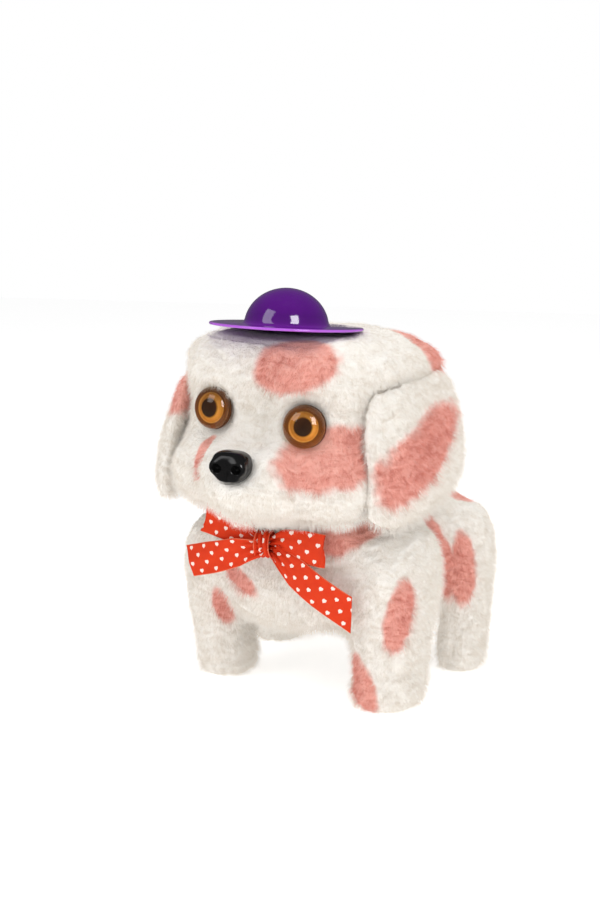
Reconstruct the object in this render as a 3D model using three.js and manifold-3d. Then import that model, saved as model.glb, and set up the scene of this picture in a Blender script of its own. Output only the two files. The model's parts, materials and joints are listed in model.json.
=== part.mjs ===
// A battery-driven walking puppy: a plush skin over a two-part plastic chassis with a motor, a gear train, a
// crankshaft, two sliding drive bars and four swinging legs, a wagging tail, loose ears, a hat and a bow.
// Millimetres, +Z up. The puppy faces -Y, so +X is its own left. It stands on z = 0.
import * as THREE from "three";
import { mergeVertices } from "three/addons/utils/BufferGeometryUtils.js";
import Module from "manifold-3d";

const wasm = await Module();
wasm.setup();

// ---------------------------------------------------------------- driving dimensions
const FIT = 0.3; // gap between touching pieces
const DEG = Math.PI / 180;

const HIP_Z = 58; // height of both leg axles, and of the split between the chassis halves
const FRONT_HIP_Y = -36;
const REAR_HIP_Y = 37;
const AXLE_R = 1.5;
const BEARING_R = AXLE_R + FIT;
const CRANK_Y = 2;
const CRANK_THROW = 1.8; // stroke of the drive bars each way from their middle
const BAR_REST = 1.67; // how far the left bar stands behind its middle at rest
const FRONT_LEVER = 12; // pivot to drive pin
const REAR_LEVER = 20;

// Lanes outside the chassis wall, as distances from the middle plane
const CHASSIS_HALF = 29;
const DISC_LANE = [29.8, 31.8];
const BAR_LANE = [32.8, 34.4];
const LEVER_LANE = [35.4, 37.2];
const HEAD_LANE = [37.8, 39.2];
const LEG_ROOM = 40.4; // half width of the room the levers and axles have inside the plush

const CHASSIS_Y = [-47, 49];
const CHASSIS_Z = [38, 82];
const SHELL = 1.8; // wall of the chassis
const BATTERY_R = 7.1;
const BATTERY_LENGTH = 48.5;
const BATTERY_Z = 47.4;
const BATTERY_X = 8;
const BAY_HALF = [16.4, 29.3]; // inside of the battery bay, across and along

// Gears: one module throughout, a 10-tooth pinion driving each 30-tooth wheel
const MODULE = 0.65;
const WHEEL_TEETH = 30;
const PINION_TEETH = 10;
const GEAR_DISTANCE = (MODULE * (WHEEL_TEETH + PINION_TEETH)) / 2;
const MESH_ANGLES = [45 * DEG, 4 * DEG, 20 * DEG]; // from each shaft to the next, crankshaft to motor
const LANE_A = [19.5, 23.5];
const LANE_B = [14.5, 18.5];
const LANE_C = [9.5, 13.5];

const EYE = { x: 23.4, y: -80, z: 135.5, radius: 9.8, turn: 13 * DEG, lift: 4 * DEG };
const NOSE = { y: -104.5, z: 116, half: [8.9, 7.5, 6.9] };
const HAT = { y: -52, z: 174.6, brim: 35.6, dome: 19.6, height: 18, shell: 1.2, peg: 19 };
const NECK_Y = -40;
const HEAD_ROLL = 3 * DEG; // the head leans towards the puppy's left
const HEAD_PIVOT = new THREE.Vector3(0, NECK_Y, 100);
const TAIL_PIVOT = { y: 52, z: 72 };
const TAIL_SOCKET_R = 28;

// Cross-sections from one end to the other: [place on the axis, centre u, centre v, half u, half v].
// The torso runs along Y with u = X and v = Z, and the head and the legs run along Z with u = X and v = Y.
const SQUARENESS = 2.6; // exponent of each section: 2 is an ellipse
const TORSO = [
  [77, 0, 66, 0, 0],
  [76, 0, 66, 15, 10],
  [70, 0, 66, 36, 21],
  [60, 0, 66, 50, 28],
  [45, 0, 67, 54, 31],
  [25, 0, 68, 52, 32],
  [0, 0, 69, 49, 33],
  [-25, 0, 69, 49, 34],
  [-48, 0, 67, 46, 33],
  [-60, 0, 66, 37, 27],
  [-66, 0, 66, 20, 15],
  [-67, 0, 66, 0, 0],
];
const HEAD = [
  [173.6, 0, -40, 0, 0],
  [173.5, 0, -40, 28, 26],
  [170, 0, -40, 39, 36],
  [162, 0, -40, 45, 40],
  [148, 0, -40, 49, 42.5],
  [130, 0, -40, 50, 43.5],
  [112, 0, -40, 50, 44],
  [98, 0, -40, 46, 41],
  [90, 0, -40, 37, 34],
  [87, 0, -40, 24, 22],
  [86.8, 0, -40, 0, 0],
];
const MUZZLE = { centre: [0, -84, 110], half: [25, 22, 17] };
const LEG_OUTLINE = [
  [68, 0],
  [67, 0.4],
  [62, 0.75],
  [54, 0.92],
  [42, 0.96],
  [30, 0.92],
  [16, 0.97],
  [7, 1],
  [2, 0.9],
  [0, 0.74],
  [0, 0],
]; // height and share of the full half-width
const LEGS = {
  front_left: { side: 1, hip: FRONT_HIP_Y, x: 49, half: [15, 19], lever: FRONT_LEVER },
  front_right: { side: -1, hip: FRONT_HIP_Y, x: 47, half: [12, 14], lever: FRONT_LEVER },
  rear_left: { side: 1, hip: REAR_HIP_Y, x: 54, half: [11, 13], lever: REAR_LEVER },
  rear_right: { side: -1, hip: REAR_HIP_Y, x: 55, half: [11, 13], lever: REAR_LEVER },
};
const EAR_HINGE = { x: 56.5, z: 151 };
const EAR_THICK = 11;
const BOW = { y: -72, z: 79, ribbon: 15, thick: 0.8 };

// ---------------------------------------------------------------- materials
const finish = (color, roughness, metalness = 0) =>
  new THREE.MeshStandardMaterial({ color, roughness, metalness });
const MATERIAL = {
  plush: finish(0xeee6da, 0.95),
  hat: finish(0x5b0f8f, 0.15),
  nose: finish(0x161413, 0.25),
  amber: finish(0xb8690f, 0.1),
  iris: finish(0x7a4416, 0.35),
  ribbon: finish(0xe02a10, 0.8),
  chassis: finish(0xd9d6cf, 0.5),
  gear: finish(0xf1eee2, 0.45),
  lever: finish(0xc9c6bf, 0.5),
  steel: finish(0xb9bcc0, 0.3, 1),
  battery: finish(0x2c6b3a, 0.4, 0.3),
  board: finish(0x1f6a3a, 0.5),
  black: finish(0x202020, 0.6),
  red_wire: finish(0xb02020, 0.5),
};

// ---------------------------------------------------------------- solids
const toSolid = (geometry) => {
  const bare = new THREE.BufferGeometry();
  const source = geometry.index ? geometry.toNonIndexed() : geometry;
  bare.setAttribute("position", source.getAttribute("position"));
  const merged = mergeVertices(bare, 1e-4);
  return new wasm.Manifold(
    new wasm.Mesh({
      numProp: 3,
      vertProperties: merged.attributes.position.array,
      triVerts: new Uint32Array(merged.index.array),
    }),
  );
};

const toGeometry = (solid) => {
  const { vertProperties, triVerts } = solid.getMesh();
  const geometry = new THREE.BufferGeometry();
  geometry.setAttribute("position", new THREE.BufferAttribute(vertProperties, 3));
  geometry.setIndex(new THREE.BufferAttribute(triVerts, 1));
  geometry.computeVertexNormals();
  return geometry;
};

const join = (...geometries) =>
  toGeometry(geometries.map(toSolid).reduce((whole, next) => whole.add(next)));

const cut = (geometry, ...tools) =>
  toGeometry(tools.map(toSolid).reduce((whole, tool) => whole.subtract(tool), toSolid(geometry)));

// A box between two corners.
const box = ([x0, x1], [y0, y1], [z0, z1]) =>
  new THREE.BoxGeometry(x1 - x0, y1 - y0, z1 - z0).translate(
    (x0 + x1) / 2,
    (y0 + y1) / 2,
    (z0 + z1) / 2,
  );

// Turns a shape drawn in XY and raised along Z so that it is drawn in YZ and raised along X.
const alongX = (geometry) =>
  geometry.applyMatrix4(
    new THREE.Matrix4().makeBasis(
      new THREE.Vector3(0, 1, 0),
      new THREE.Vector3(0, 0, 1),
      new THREE.Vector3(1, 0, 0),
    ),
  );

// A round bar along one axis, between two places on it, centred on (u, v) in the other two axes.
const rodX = (radius, [x0, x1], [y, z], sides = 12) =>
  new THREE.CylinderGeometry(radius, radius, x1 - x0, sides)
    .rotateZ(-Math.PI / 2)
    .translate((x0 + x1) / 2, y, z);
const rodY = (radius, [y0, y1], [x, z], sides = 12) =>
  new THREE.CylinderGeometry(radius, radius, y1 - y0, sides).translate(x, (y0 + y1) / 2, z);
const rodZ = (radius, [z0, z1], [x, y], sides = 12) =>
  new THREE.CylinderGeometry(radius, radius, z1 - z0, sides)
    .rotateX(Math.PI / 2)
    .translate(x, y, (z0 + z1) / 2);

// The same lane on the puppy's left (side 1) or right (side -1).
const lane = ([near, far], side) => (side > 0 ? [near, far] : [-far, -near]);

// A closed body through rounded-square cross-sections, on the grid of a sphere.
const loft = (axis, sections, sides = 24) => {
  const geometry = new THREE.SphereGeometry(1, sides, sections.length - 1);
  const position = geometry.attributes.position;
  for (let i = 0; i < position.count; i++) {
    const [at, u, v, halfU, halfV] = sections[Math.floor(i / (sides + 1))];
    const angle = (2 * Math.PI * ((i % (sides + 1)) % sides)) / sides;
    const [c, s] = [-Math.cos(angle), Math.sin(angle)];
    const reach = (Math.abs(c) ** SQUARENESS + Math.abs(s) ** SQUARENESS) ** (-1 / SQUARENESS);
    if (axis === "y") position.setXYZ(i, u + halfU * c * reach, at, v + halfV * s * reach);
    else position.setXYZ(i, u + halfU * c * reach, v - halfV * s * reach, at);
  }
  return geometry;
};

// The same sections drawn in by a wall thickness, or out by a negative one.
const inset = (sections, wall) => {
  const [high, low] = [sections[0][0], sections.at(-1)[0]];
  const middle = (high + low) / 2;
  const shrink = 1 - wall / ((high - low) / 2);
  return sections.map(([at, u, v, halfU, halfV]) => [
    middle + (at - middle) * shrink,
    u,
    v,
    halfU ? Math.max(halfU - wall, 1) : 0,
    halfV ? Math.max(halfV - wall, 1) : 0,
  ]);
};

const ellipsoid = ([x, y, z], [a, b, c], extra = 0, sides = 18) =>
  new THREE.SphereGeometry(1, sides, sides / 2)
    .scale(a + extra, b + extra, c + extra)
    .translate(x, y, z);

// A turned piece whose axis points along a direction from a place.
const facing = (geometry, place, direction) =>
  geometry
    .applyQuaternion(
      new THREE.Quaternion().setFromUnitVectors(new THREE.Vector3(0, 0, 1), direction),
    )
    .translate(...place);
const turned = (points, sides = 16) =>
  new THREE.LatheGeometry(
    points.map(([r, h]) => new THREE.Vector2(r, h)),
    sides,
  ).rotateX(Math.PI / 2);
const arc = (radius, height, from, to, steps) =>
  Array.from({ length: steps + 1 }, (_, i) => {
    const angle = from + ((to - from) * i) / steps;
    return [radius * Math.cos(angle), height * Math.sin(angle)];
  });

// A flat plate drawn as an outline of [u, v] points.
const plate = (outline, thick, holes = []) => {
  const shape = new THREE.Shape(outline.map(([u, v]) => new THREE.Vector2(u, v)));
  shape.holes = holes.map((hole) => new THREE.Path(hole.map(([u, v]) => new THREE.Vector2(u, v))));
  return new THREE.ExtrudeGeometry(shape, { depth: thick, bevelEnabled: false });
};
const slot = (u, v, halfU, halfV) => [
  [u - halfU, v - halfV],
  [u - halfU, v + halfV],
  [u + halfU, v + halfV],
  [u + halfU, v - halfV],
];

// A wire through a few points, as a round section swept along a curve.
const wire = (radius, points, steps = 8) => {
  const sides = 6;
  const section = new THREE.Shape(
    Array.from({ length: sides }, (_, i) => {
      const angle = (2 * Math.PI * i) / sides;
      return new THREE.Vector2(radius * Math.cos(angle), radius * Math.sin(angle));
    }),
  );
  const extrudePath = new THREE.CatmullRomCurve3(points.map((p) => new THREE.Vector3(...p)));
  return new THREE.ExtrudeGeometry(section, { extrudePath, steps });
};

// ---------------------------------------------------------------- scene graph
const toy = new THREE.Group();
const body = new THREE.Group();
const head = new THREE.Group(); // authored in the body's frame, then leant about the neck
toy.add(body, head);
head.position
  .copy(HEAD_PIVOT)
  .sub(HEAD_PIVOT.clone().applyAxisAngle(new THREE.Vector3(0, 1, 0), HEAD_ROLL));
head.rotation.y = HEAD_ROLL;
head.updateMatrix();

const add = (group, name, geometry, material) => {
  const mesh = new THREE.Mesh(geometry, material);
  mesh.name = name;
  group.add(mesh);
  return mesh;
};

// ---------------------------------------------------------------- gear train
// Shaft places in the YZ plane: crankshaft, second idler, first idler, motor.
const shafts = MESH_ANGLES.reduce(
  (places, angle) => {
    const [y, z] = places.at(-1);
    return [
      ...places,
      [y + GEAR_DISTANCE * Math.cos(angle), z + GEAR_DISTANCE * Math.sin(angle)],
    ];
  },
  [[CRANK_Y, HIP_Z]],
);
const [CRANK_AT, IDLER_2_AT, IDLER_1_AT, MOTOR_AT] = shafts;
const IDLER_AXLE_R = 1;
const MOTOR_X = [-20, 5];

const gear = (teeth, phase, [x0, x1], [y, z], bore) => {
  const pitch = (2 * Math.PI) / teeth;
  const radius = (MODULE * teeth) / 2;
  const [root, tip] = [radius - 1.05 * MODULE, radius + 0.72 * MODULE];
  const outline = [];
  for (let i = 0; i < teeth; i++) {
    const at = phase + i * pitch;
    outline.push([root, at - 0.27 * pitch]);
    outline.push([tip, at - 0.1 * pitch]);
    outline.push([tip, at + 0.1 * pitch]);
    outline.push([root, at + 0.27 * pitch]);
  }
  const points = outline.map(([r, a]) => [r * Math.cos(a), r * Math.sin(a)]);
  const hole = Array.from({ length: 12 }, (_, i) => {
    const angle = (-2 * Math.PI * i) / 12;
    return [bore * Math.cos(angle), bore * Math.sin(angle)];
  });
  return alongX(plate(points, x1 - x0, bore ? [hole] : [])).translate(x0, y, z);
};
// A wheel has a tooth pointing at the next pinion, and that pinion has a gap pointing back.
const wheel = (index, laneX, bore) =>
  gear(WHEEL_TEETH, MESH_ANGLES[index], laneX, shafts[index], bore);
const pinion = (index, laneX, bore) =>
  gear(
    PINION_TEETH,
    MESH_ANGLES[index - 1] + Math.PI + Math.PI / PINION_TEETH,
    laneX,
    shafts[index],
    bore,
  );

const makeGearTrain = () => {
  const idlerBore = IDLER_AXLE_R + FIT;
  add(body, "crankshaft", rodX(AXLE_R, [-31, 31], CRANK_AT), MATERIAL.steel);
  add(body, "drive_gear", wheel(0, LANE_A, BEARING_R), MATERIAL.gear);
  const secondSpacer = cut(
    rodX(2.2, [LANE_A[1] - 0.1, 26.4], IDLER_2_AT, 12),
    rodX(idlerBore, [0, 30], IDLER_2_AT, 12),
  );
  const second = join(
    wheel(1, LANE_B, idlerBore),
    pinion(1, [LANE_B[1] - 0.1, LANE_A[1]], idlerBore),
    secondSpacer,
  );
  add(body, "second_idler_gear", second, MATERIAL.gear);
  const first = join(
    wheel(2, LANE_C, idlerBore),
    pinion(2, [LANE_C[1] - 0.1, LANE_B[1]], idlerBore),
  );
  add(body, "first_idler_gear", first, MATERIAL.gear);
  const motorShaft = rodX(1, [MOTOR_X[1] + 0.4, LANE_C[1] + 0.5], MOTOR_AT, 12);
  add(body, "motor_pinion", join(motorShaft, pinion(3, LANE_C, 0)), MATERIAL.steel);

  // The plate beside the motor carries the two idler axles.
  const frame = join(
    cut(box([6.2, 7.8], [5, 45], [60.5, 79.4]), rodX(3.2, [5, 9], MOTOR_AT)),
    rodX(IDLER_AXLE_R, [7, 28.6], IDLER_2_AT, 12),
    rodX(IDLER_AXLE_R, [7, 28.6], IDLER_1_AT, 12),
  );
  add(body, "gear_frame", frame, MATERIAL.chassis);

  // The motor is a can with two flats, on its side.
  const can = rodX(10, MOTOR_X, MOTOR_AT, 28);
  const [y, z] = MOTOR_AT;
  const flats = [
    box([-21, 6], [y - 11, y + 11], [z + 7.2, z + 12]),
    box([-21, 6], [y - 11, y + 11], [z - 12, z - 7.2]),
  ];
  add(body, "motor", cut(can, ...flats), MATERIAL.steel);
};

// ---------------------------------------------------------------- chassis and what is inside it
const SCREW_AT = [
  [24.4, -43],
  [-24.4, 44.6],
];
const COVER_SCREW_Y = 36;
const SWITCH_Y = -40;

const makeChassis = () => {
  const [y0, y1] = CHASSIS_Y;
  const [z0, z1] = CHASSIS_Z;
  const inner = CHASSIS_HALF - SHELL;
  const bearings = [FRONT_HIP_Y, REAR_HIP_Y, CRANK_Y].map((y) =>
    rodX(BEARING_R, [-35, 35], [y, HIP_Z]),
  );
  const seam = FIT / 2;
  const [bayX, bayY] = BAY_HALF;

  const lower = cut(
    join(
      cut(
        box([-CHASSIS_HALF, CHASSIS_HALF], CHASSIS_Y, [z0, HIP_Z - seam]),
        box([-inner, inner], [y0 + SHELL, y1 - SHELL], [z0 + SHELL, HIP_Z + 1]),
      ),
      ...SCREW_AT.map((at) => rodZ(3.4, [z0 + 1, HIP_Z - seam], at)),
      rodZ(3.4, [z0 + 1, z0 + 11], [0, COVER_SCREW_Y]),
      cut(
        box([-bayX - 1.2, bayX + 1.2], [-bayY - 1.2, bayY + 1.2], [z0 + 1, 54]),
        box([-bayX, bayX], [-bayY, bayY], [z0, 55]),
      ),
    ),
    box([-bayX, bayX], [-bayY, bayY], [z0 - 1, z0 + 3]),
    box([-3.8, 3.8], [SWITCH_Y - 2, SWITCH_Y + 2], [z0 - 1, z0 + 3]),
    ...SCREW_AT.map((at) => rodZ(1.4, [z0 - 1, HIP_Z + 1], at)),
    ...SCREW_AT.map((at) => rodZ(2.6, [z0 - 1, z0 + 2.2], at)),
    rodZ(1.5, [z0 - 1, z0 + 9], [0, COVER_SCREW_Y]),
    ...bearings,
  );
  add(body, "chassis_lower", lower, MATERIAL.chassis);

  const upper = cut(
    join(
      cut(
        box([-CHASSIS_HALF, CHASSIS_HALF], CHASSIS_Y, [HIP_Z + seam, z1]),
        box([-inner, inner], [y0 + SHELL, y1 - SHELL], [HIP_Z - 1, z1 - SHELL]),
      ),
      ...SCREW_AT.map((at) => rodZ(3.4, [HIP_Z + seam, 70], at)),
    ),
    ...SCREW_AT.map((at) => rodZ(1.4, [HIP_Z - 1, 68], at)),
    rodX(IDLER_AXLE_R + FIT, [25, 30], IDLER_2_AT),
    rodX(IDLER_AXLE_R + FIT, [25, 30], IDLER_1_AT),
    box([-3, 3], [y1 - 3, y1 + 1], [TAIL_PIVOT.z - 3, TAIL_PIVOT.z + 3]),
    rodZ(3.5, [z1 - 3, z1 + 1], [0, NECK_Y]),
    ...bearings,
  );
  add(body, "chassis_upper", upper, MATERIAL.chassis);

  ["front", "rear"].forEach((name, i) => {
    const at = SCREW_AT[i];
    const screw = join(rodZ(2.2, [z0 + 0.4, z0 + 1.8], at), rodZ(1, [z0 + 1.7, 64], at, 10));
    add(body, `chassis_screw_${name}`, screw, MATERIAL.steel);
  });
};

const makeBatteries = () => {
  const half = BATTERY_LENGTH / 2;
  for (const [name, side] of [
    ["left", 1],
    ["right", -1],
  ]) {
    const cell = join(
      rodY(BATTERY_R, [-half, half], [side * BATTERY_X, BATTERY_Z], 24),
      rodY(2.7, side > 0 ? [half - 0.1, half + 1] : [-half - 1, 0.1 - half], [
        side * BATTERY_X,
        BATTERY_Z,
      ]),
    );
    add(body, `battery_${name}`, cell, MATERIAL.battery);
  }
  // Contact plates stand at both ends of the bay. Each has a spring where it meets a cell's flat end, and a
  // bump where it meets a cell's button.
  const face = BAY_HALF[1] - 0.6;
  const back = (end, [x0, x1]) =>
    box([x0, x1], [end * face - 0.25, end * face + 0.25], [41.5, 53.5]);
  const bump = (side) => {
    const reach = half + 1.4;
    return rodY(2.4, side > 0 ? [reach, face] : [-face, -reach], [side * BATTERY_X, BATTERY_Z], 12);
  };
  const spring = (side) => {
    const from = half + 0.7;
    const points = Array.from({ length: 21 }, (_, i) => {
      const share = i / 20;
      const angle = 5 * Math.PI * share;
      const radius = 2 + 1.4 * share;
      return [
        side * BATTERY_X + radius * Math.cos(angle),
        -side * (from + (face - from) * share),
        BATTERY_Z + radius * Math.sin(angle),
      ];
    });
    return wire(0.35, points, 20);
  };
  const edge = BATTERY_X + 5;
  const inside = BATTERY_X - 5;
  add(body, "battery_bridge", join(back(1, [-edge, edge]), bump(1), spring(-1)), MATERIAL.steel);
  add(body, "battery_contact_plus", join(back(-1, [-edge, -inside]), bump(-1)), MATERIAL.steel);
  add(body, "battery_contact_minus", join(back(-1, [inside, edge]), spring(1)), MATERIAL.steel);
};

const makeBatteryCover = () => {
  const z0 = CHASSIS_Z[0];
  const [bayX, bayY] = BAY_HALF;
  const cover = cut(
    join(
      box([-18.4, 18.4], [-31.6, 40.4], [z0 - 2, z0 - 0.4]),
      box([-bayX + 0.5, bayX - 0.5], [-bayY + 0.5, bayY - 0.5], [z0 - 0.5, z0 + 1]),
    ),
    rodZ(1.5, [z0 - 3, z0], [0, COVER_SCREW_Y]),
    ...[-12, -9, -6].map((y) => box([-10, 10], [y, y + 1.2], [z0 - 2.5, z0 - 1.5])),
  );
  add(body, "battery_cover", cover, MATERIAL.lever);
  const screw = join(
    rodZ(2.6, [z0 - 3.5, z0 - 2.3], [0, COVER_SCREW_Y]),
    rodZ(1.1, [z0 - 2.4, z0 + 7], [0, COVER_SCREW_Y], 12),
  );
  add(body, "cover_screw", screw, MATERIAL.steel);
};

const makeSwitch = () => {
  const z0 = CHASSIS_Z[0];
  const knob = join(
    box([-5.6, 2.2], [SWITCH_Y - 3, SWITCH_Y + 3], [z0 + 2.1, z0 + 3.4]),
    box([-3.4, -0.4], [SWITCH_Y - 1.5, SWITCH_Y + 1.5], [z0 - 2.4, z0 + 2.2]),
  );
  add(body, "power_switch_knob", knob, MATERIAL.black);
  const housing = box([-7, 7], [SWITCH_Y - 4, SWITCH_Y + 2.1], [z0 + 3.8, z0 + 8.4]);
  add(body, "power_switch", housing, MATERIAL.black);
};

const makeSound = () => {
  const board = join(
    box([-26, 4], [-33, 6], [75.6, 76.8]),
    box([-14, -6], [-20, -12], [76.7, 78.4]),
    box([-22, -18], [-6, 0], [76.7, 79]),
  );
  add(body, "sound_board", board, MATERIAL.board);
  const speaker = join(
    rodY(12, [-44.4, -42.8], [0, 68], 24),
    rodY(7, [-42.9, -39.4], [0, 68], 20),
  );
  add(body, "speaker", speaker, MATERIAL.black);

  // Three leads leave one plug under the board: to the batteries, the motor and the speaker.
  const loom = join(
    box([-20, -12], [-10, -4], [71, 75.2]),
    wire(0.9, [
      [-14, -8, 72],
      [-12, -18, 68],
      [-9, -27, 60],
      [-8, -28.4, 54.5],
    ]),
    wire(0.9, [
      [-17, -6, 73],
      [-20, 8, 72],
      [-23.4, 22, 70],
      [-21.2, 32, 71],
    ]),
    wire(0.9, [
      [-16, -8, 73.6],
      [-12, -20, 73],
      [-7, -32, 71],
      [-4, -38.8, 69],
    ]),
  );
  add(body, "wire_loom", loom, MATERIAL.red_wire);
};

// ---------------------------------------------------------------- crank, bars and legs
const makeCranks = () => {
  for (const [name, side] of [
    ["left", 1],
    ["right", -1],
  ]) {
    const pinY = CRANK_Y + side * CRANK_THROW;
    const disc = cut(
      join(
        rodX(6, lane(DISC_LANE, side), CRANK_AT, 24),
        rodX(1.2, lane([DISC_LANE[1] - 0.1, BAR_LANE[0] - 0.4], side), [pinY, HIP_Z], 12),
      ),
      rodX(BEARING_R, lane([DISC_LANE[0] - 1, 31.3], side), CRANK_AT),
    );
    add(body, `crank_disc_${name}`, disc, MATERIAL.gear);
  }
};

// A bar that slides along the puppy: a yoke round the crank pin and a pin for each leg's lever.
const makeDriveBar = (name, side) => {
  const front = [FRONT_HIP_Y, HIP_Z + FRONT_LEVER];
  const rear = [REAR_HIP_Y, HIP_Z + REAR_LEVER];
  const half = 2.6;
  const outline = [
    [front[0] - half, front[1] - half],
    [CRANK_Y - 4.4, front[1] + 1.6],
    [CRANK_Y - 4.4, HIP_Z - 5],
    [CRANK_Y + 4.4, HIP_Z - 5],
    [CRANK_Y + 4.4, front[1] + 2.6],
    [rear[0] + half, rear[1] - half],
    [rear[0] + half, rear[1] + half],
    [front[0] - half, front[1] + half],
  ];
  const yoke = slot(CRANK_Y, HIP_Z, 1.5, 3.4);
  const thick = BAR_LANE[1] - BAR_LANE[0];
  const pins = lane([BAR_LANE[1] - 0.1, LEVER_LANE[1] - 0.2], side);
  const bar = join(
    alongX(plate(outline, thick, [yoke])).translate(lane(BAR_LANE, side)[0], 0, 0),
    rodX(1.2, pins, front, 12),
    rodX(1.2, pins, rear, 12),
  );
  const mesh = add(body, `drive_bar_${name}`, bar, MATERIAL.lever);
  mesh.position.y = side * BAR_REST;
};

// The angle a leg stands at when its bar is at rest. A leg that reaches forward is turned by less than zero.
const legAngle = ({ side, lever }) => -Math.asin((side * BAR_REST) / lever);

// A plush leg leans forward or back but keeps its sole level.
const legShape = (leg, grow = 0, sides = 16) => {
  const sections = LEG_OUTLINE.map(([z, share]) => [
    z,
    leg.side * leg.x,
    leg.hip + (HIP_Z - z) * Math.tan(legAngle(leg)),
    leg.half[0] * share,
    leg.half[1] * share,
  ]);
  return loft("z", inset(sections, -grow), sides);
};

const makeLeg = (name, leg) => {
  const { side, hip, x, lever } = leg;
  const angle = legAngle(leg);
  // The plastic core, drawn hanging straight down from the axle at the origin, then turned.
  const top = lever + 3.6;
  const ring = (radius, v) =>
    Array.from({ length: 12 }, (_, i) => {
      const a = (-2 * Math.PI * i) / 12;
      return [radius * Math.cos(a), v + radius * Math.sin(a)];
    });
  const outline = [
    [-3.6, -24],
    [3.6, -24],
    [3.6, top],
    [-3.6, top],
  ];
  const laneX = lane(LEVER_LANE, side);
  const lever_plate = alongX(
    plate(outline, laneX[1] - laneX[0], [ring(BEARING_R, 0), slot(0, lever, 1.6, 1.9)]),
  ).translate(laneX[0], 0, 0);
  // An arm leads out from the lever to the stem, which runs down inside the plush.
  const arm = box(lane([LEVER_LANE[0], x - 4], side), [-4.6, 4.6], [-25, -19]);
  const stem = box(lane([x - 5, x + 5], side), [-4.6, 4.6], [-49, -19]);
  const place = (geometry) => geometry.rotateX(angle).translate(0, hip, HIP_Z);
  add(body, `leg_core_${name}`, place(join(lever_plate, arm, stem)), MATERIAL.lever);

  const pocket = place(
    join(
      box(lane([20, LEVER_LANE[1] + 0.5], side), [-4.2, 4.2], [-25, 5]),
      box(lane([20, x], side), [-5.1, 5.1], [-25.5, -18.5]),
      box(lane([x - 5.5, x + 5.5], side), [-5.1, 5.1], [-49.5, -18.5]),
    ),
  );
  const mechanism = box(lane([20, LEG_ROOM + 0.3], side), [hip - 30, hip + 30], [49, 90]);
  const plush = cut(legShape(leg), pocket, mechanism);
  add(body, `leg_plush_${name}`, plush, MATERIAL.plush);
};

const makeAxles = () => {
  // The ends are spread into rivet heads that keep the legs on.
  for (const [name, y] of [
    ["front", FRONT_HIP_Y],
    ["rear", REAR_HIP_Y],
  ]) {
    const at = [y, HIP_Z];
    const axle = join(
      rodX(AXLE_R, [-HEAD_LANE[0] - 0.1, HEAD_LANE[0] + 0.1], at),
      rodX(2.8, lane(HEAD_LANE, 1), at),
      rodX(2.8, lane(HEAD_LANE, -1), at),
    );
    add(body, `${name}_axle`, axle, MATERIAL.steel);
  }
};

// ---------------------------------------------------------------- torso and tail
const headShape = (grow = 0) =>
  join(loft("z", inset(HEAD, -grow)), ellipsoid(MUZZLE.centre, MUZZLE.half, grow));

const makeTorso = () => {
  const z0 = CHASSIS_Z[0];
  const clear = 0.5;
  const [y0, y1] = CHASSIS_Y;
  const cavity = join(
    box(
      [-CHASSIS_HALF - clear, CHASSIS_HALF + clear],
      [y0 - clear, y1 + clear],
      [z0 - clear, CHASSIS_Z[1] + clear],
    ),
    box([-LEG_ROOM, LEG_ROOM], [-43, 16], [50, 76]),
    box([-LEG_ROOM, LEG_ROOM], [-20, 46], [50, 83]),
  );
  // Each leg needs the room it swings through: its own shape, grown, at both ends of its swing.
  const pockets = Object.values(LEGS).flatMap((leg) =>
    [0, -2].map((share) =>
      legShape(leg, 1.6, 12)
        .translate(0, -leg.hip, -HIP_Z)
        .rotateX(share * legAngle(leg))
        .translate(0, leg.hip, HIP_Z),
    ),
  );
  const levers = Object.values(LEGS).map(({ side, hip }) =>
    box(lane([33.2, LEG_ROOM], side), [hip - 14, hip + 14], [20, 57.4]),
  );
  const overHead = headShape(0.8).applyMatrix4(head.matrix);
  const { y: tailY, z: tailZ } = TAIL_PIVOT;
  const tailSocket = cut(
    box([-22, 22], [70, 90], [tailZ - 9, tailZ + 40]),
    rodZ(TAIL_SOCKET_R, [tailZ - 20, tailZ + 50], [0, tailY], 40),
  );
  const tailSlot = box([-10.5, 10.5], [y1, 90], [tailZ - 3.2, tailZ + 3.2]);
  const torso = cut(
    loft("y", TORSO, 24),
    cavity,
    ...pockets,
    ...levers,
    overHead,
    box([-21, 21], [y0 + 1, 43], [20, z0]),
    rodZ(9.5, [75, 95], [0, NECK_Y]),
    tailSocket,
    tailSlot,
  );
  add(body, "body_plush", torso, MATERIAL.plush);
};

const makeTail = () => {
  const { y, z } = TAIL_PIVOT;
  const core = join(rodZ(2.2, [z - 2.6, z + 2.6], [0, y]), rodY(1.8, [y, y + 38], [0, z], 12));
  add(body, "tail_core", core, MATERIAL.lever);
  const root = y + TAIL_SOCKET_R + 0.9;
  const sections = [
    [110, 0, root + 13, 0, 0],
    [109, 0, root + 13, 3, 3.4],
    [104, 0, root + 12.6, 5.6, 5.8],
    [92, 0, root + 10.6, 7, 7.4],
    [80, 0, root + 8.8, 7.6, 8],
    [70, 0, root + 8.6, 7, 8],
    [64, 0, root + 8.6, 4, 5],
    [63, 0, root + 8.6, 0, 0],
  ];
  const hole = rodY(2.2, [y, y + 38.6], [0, z]);
  add(body, "tail_plush", cut(loft("z", sections, 16), hole), MATERIAL.plush);
};

// ---------------------------------------------------------------- head
const eyeDirection = (side) =>
  new THREE.Vector3(
    side * Math.sin(EYE.turn) * Math.cos(EYE.lift),
    -Math.cos(EYE.turn) * Math.cos(EYE.lift),
    Math.sin(EYE.lift),
  );
const eyePlace = (side) => [side * EYE.x, EYE.y, EYE.z];

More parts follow.
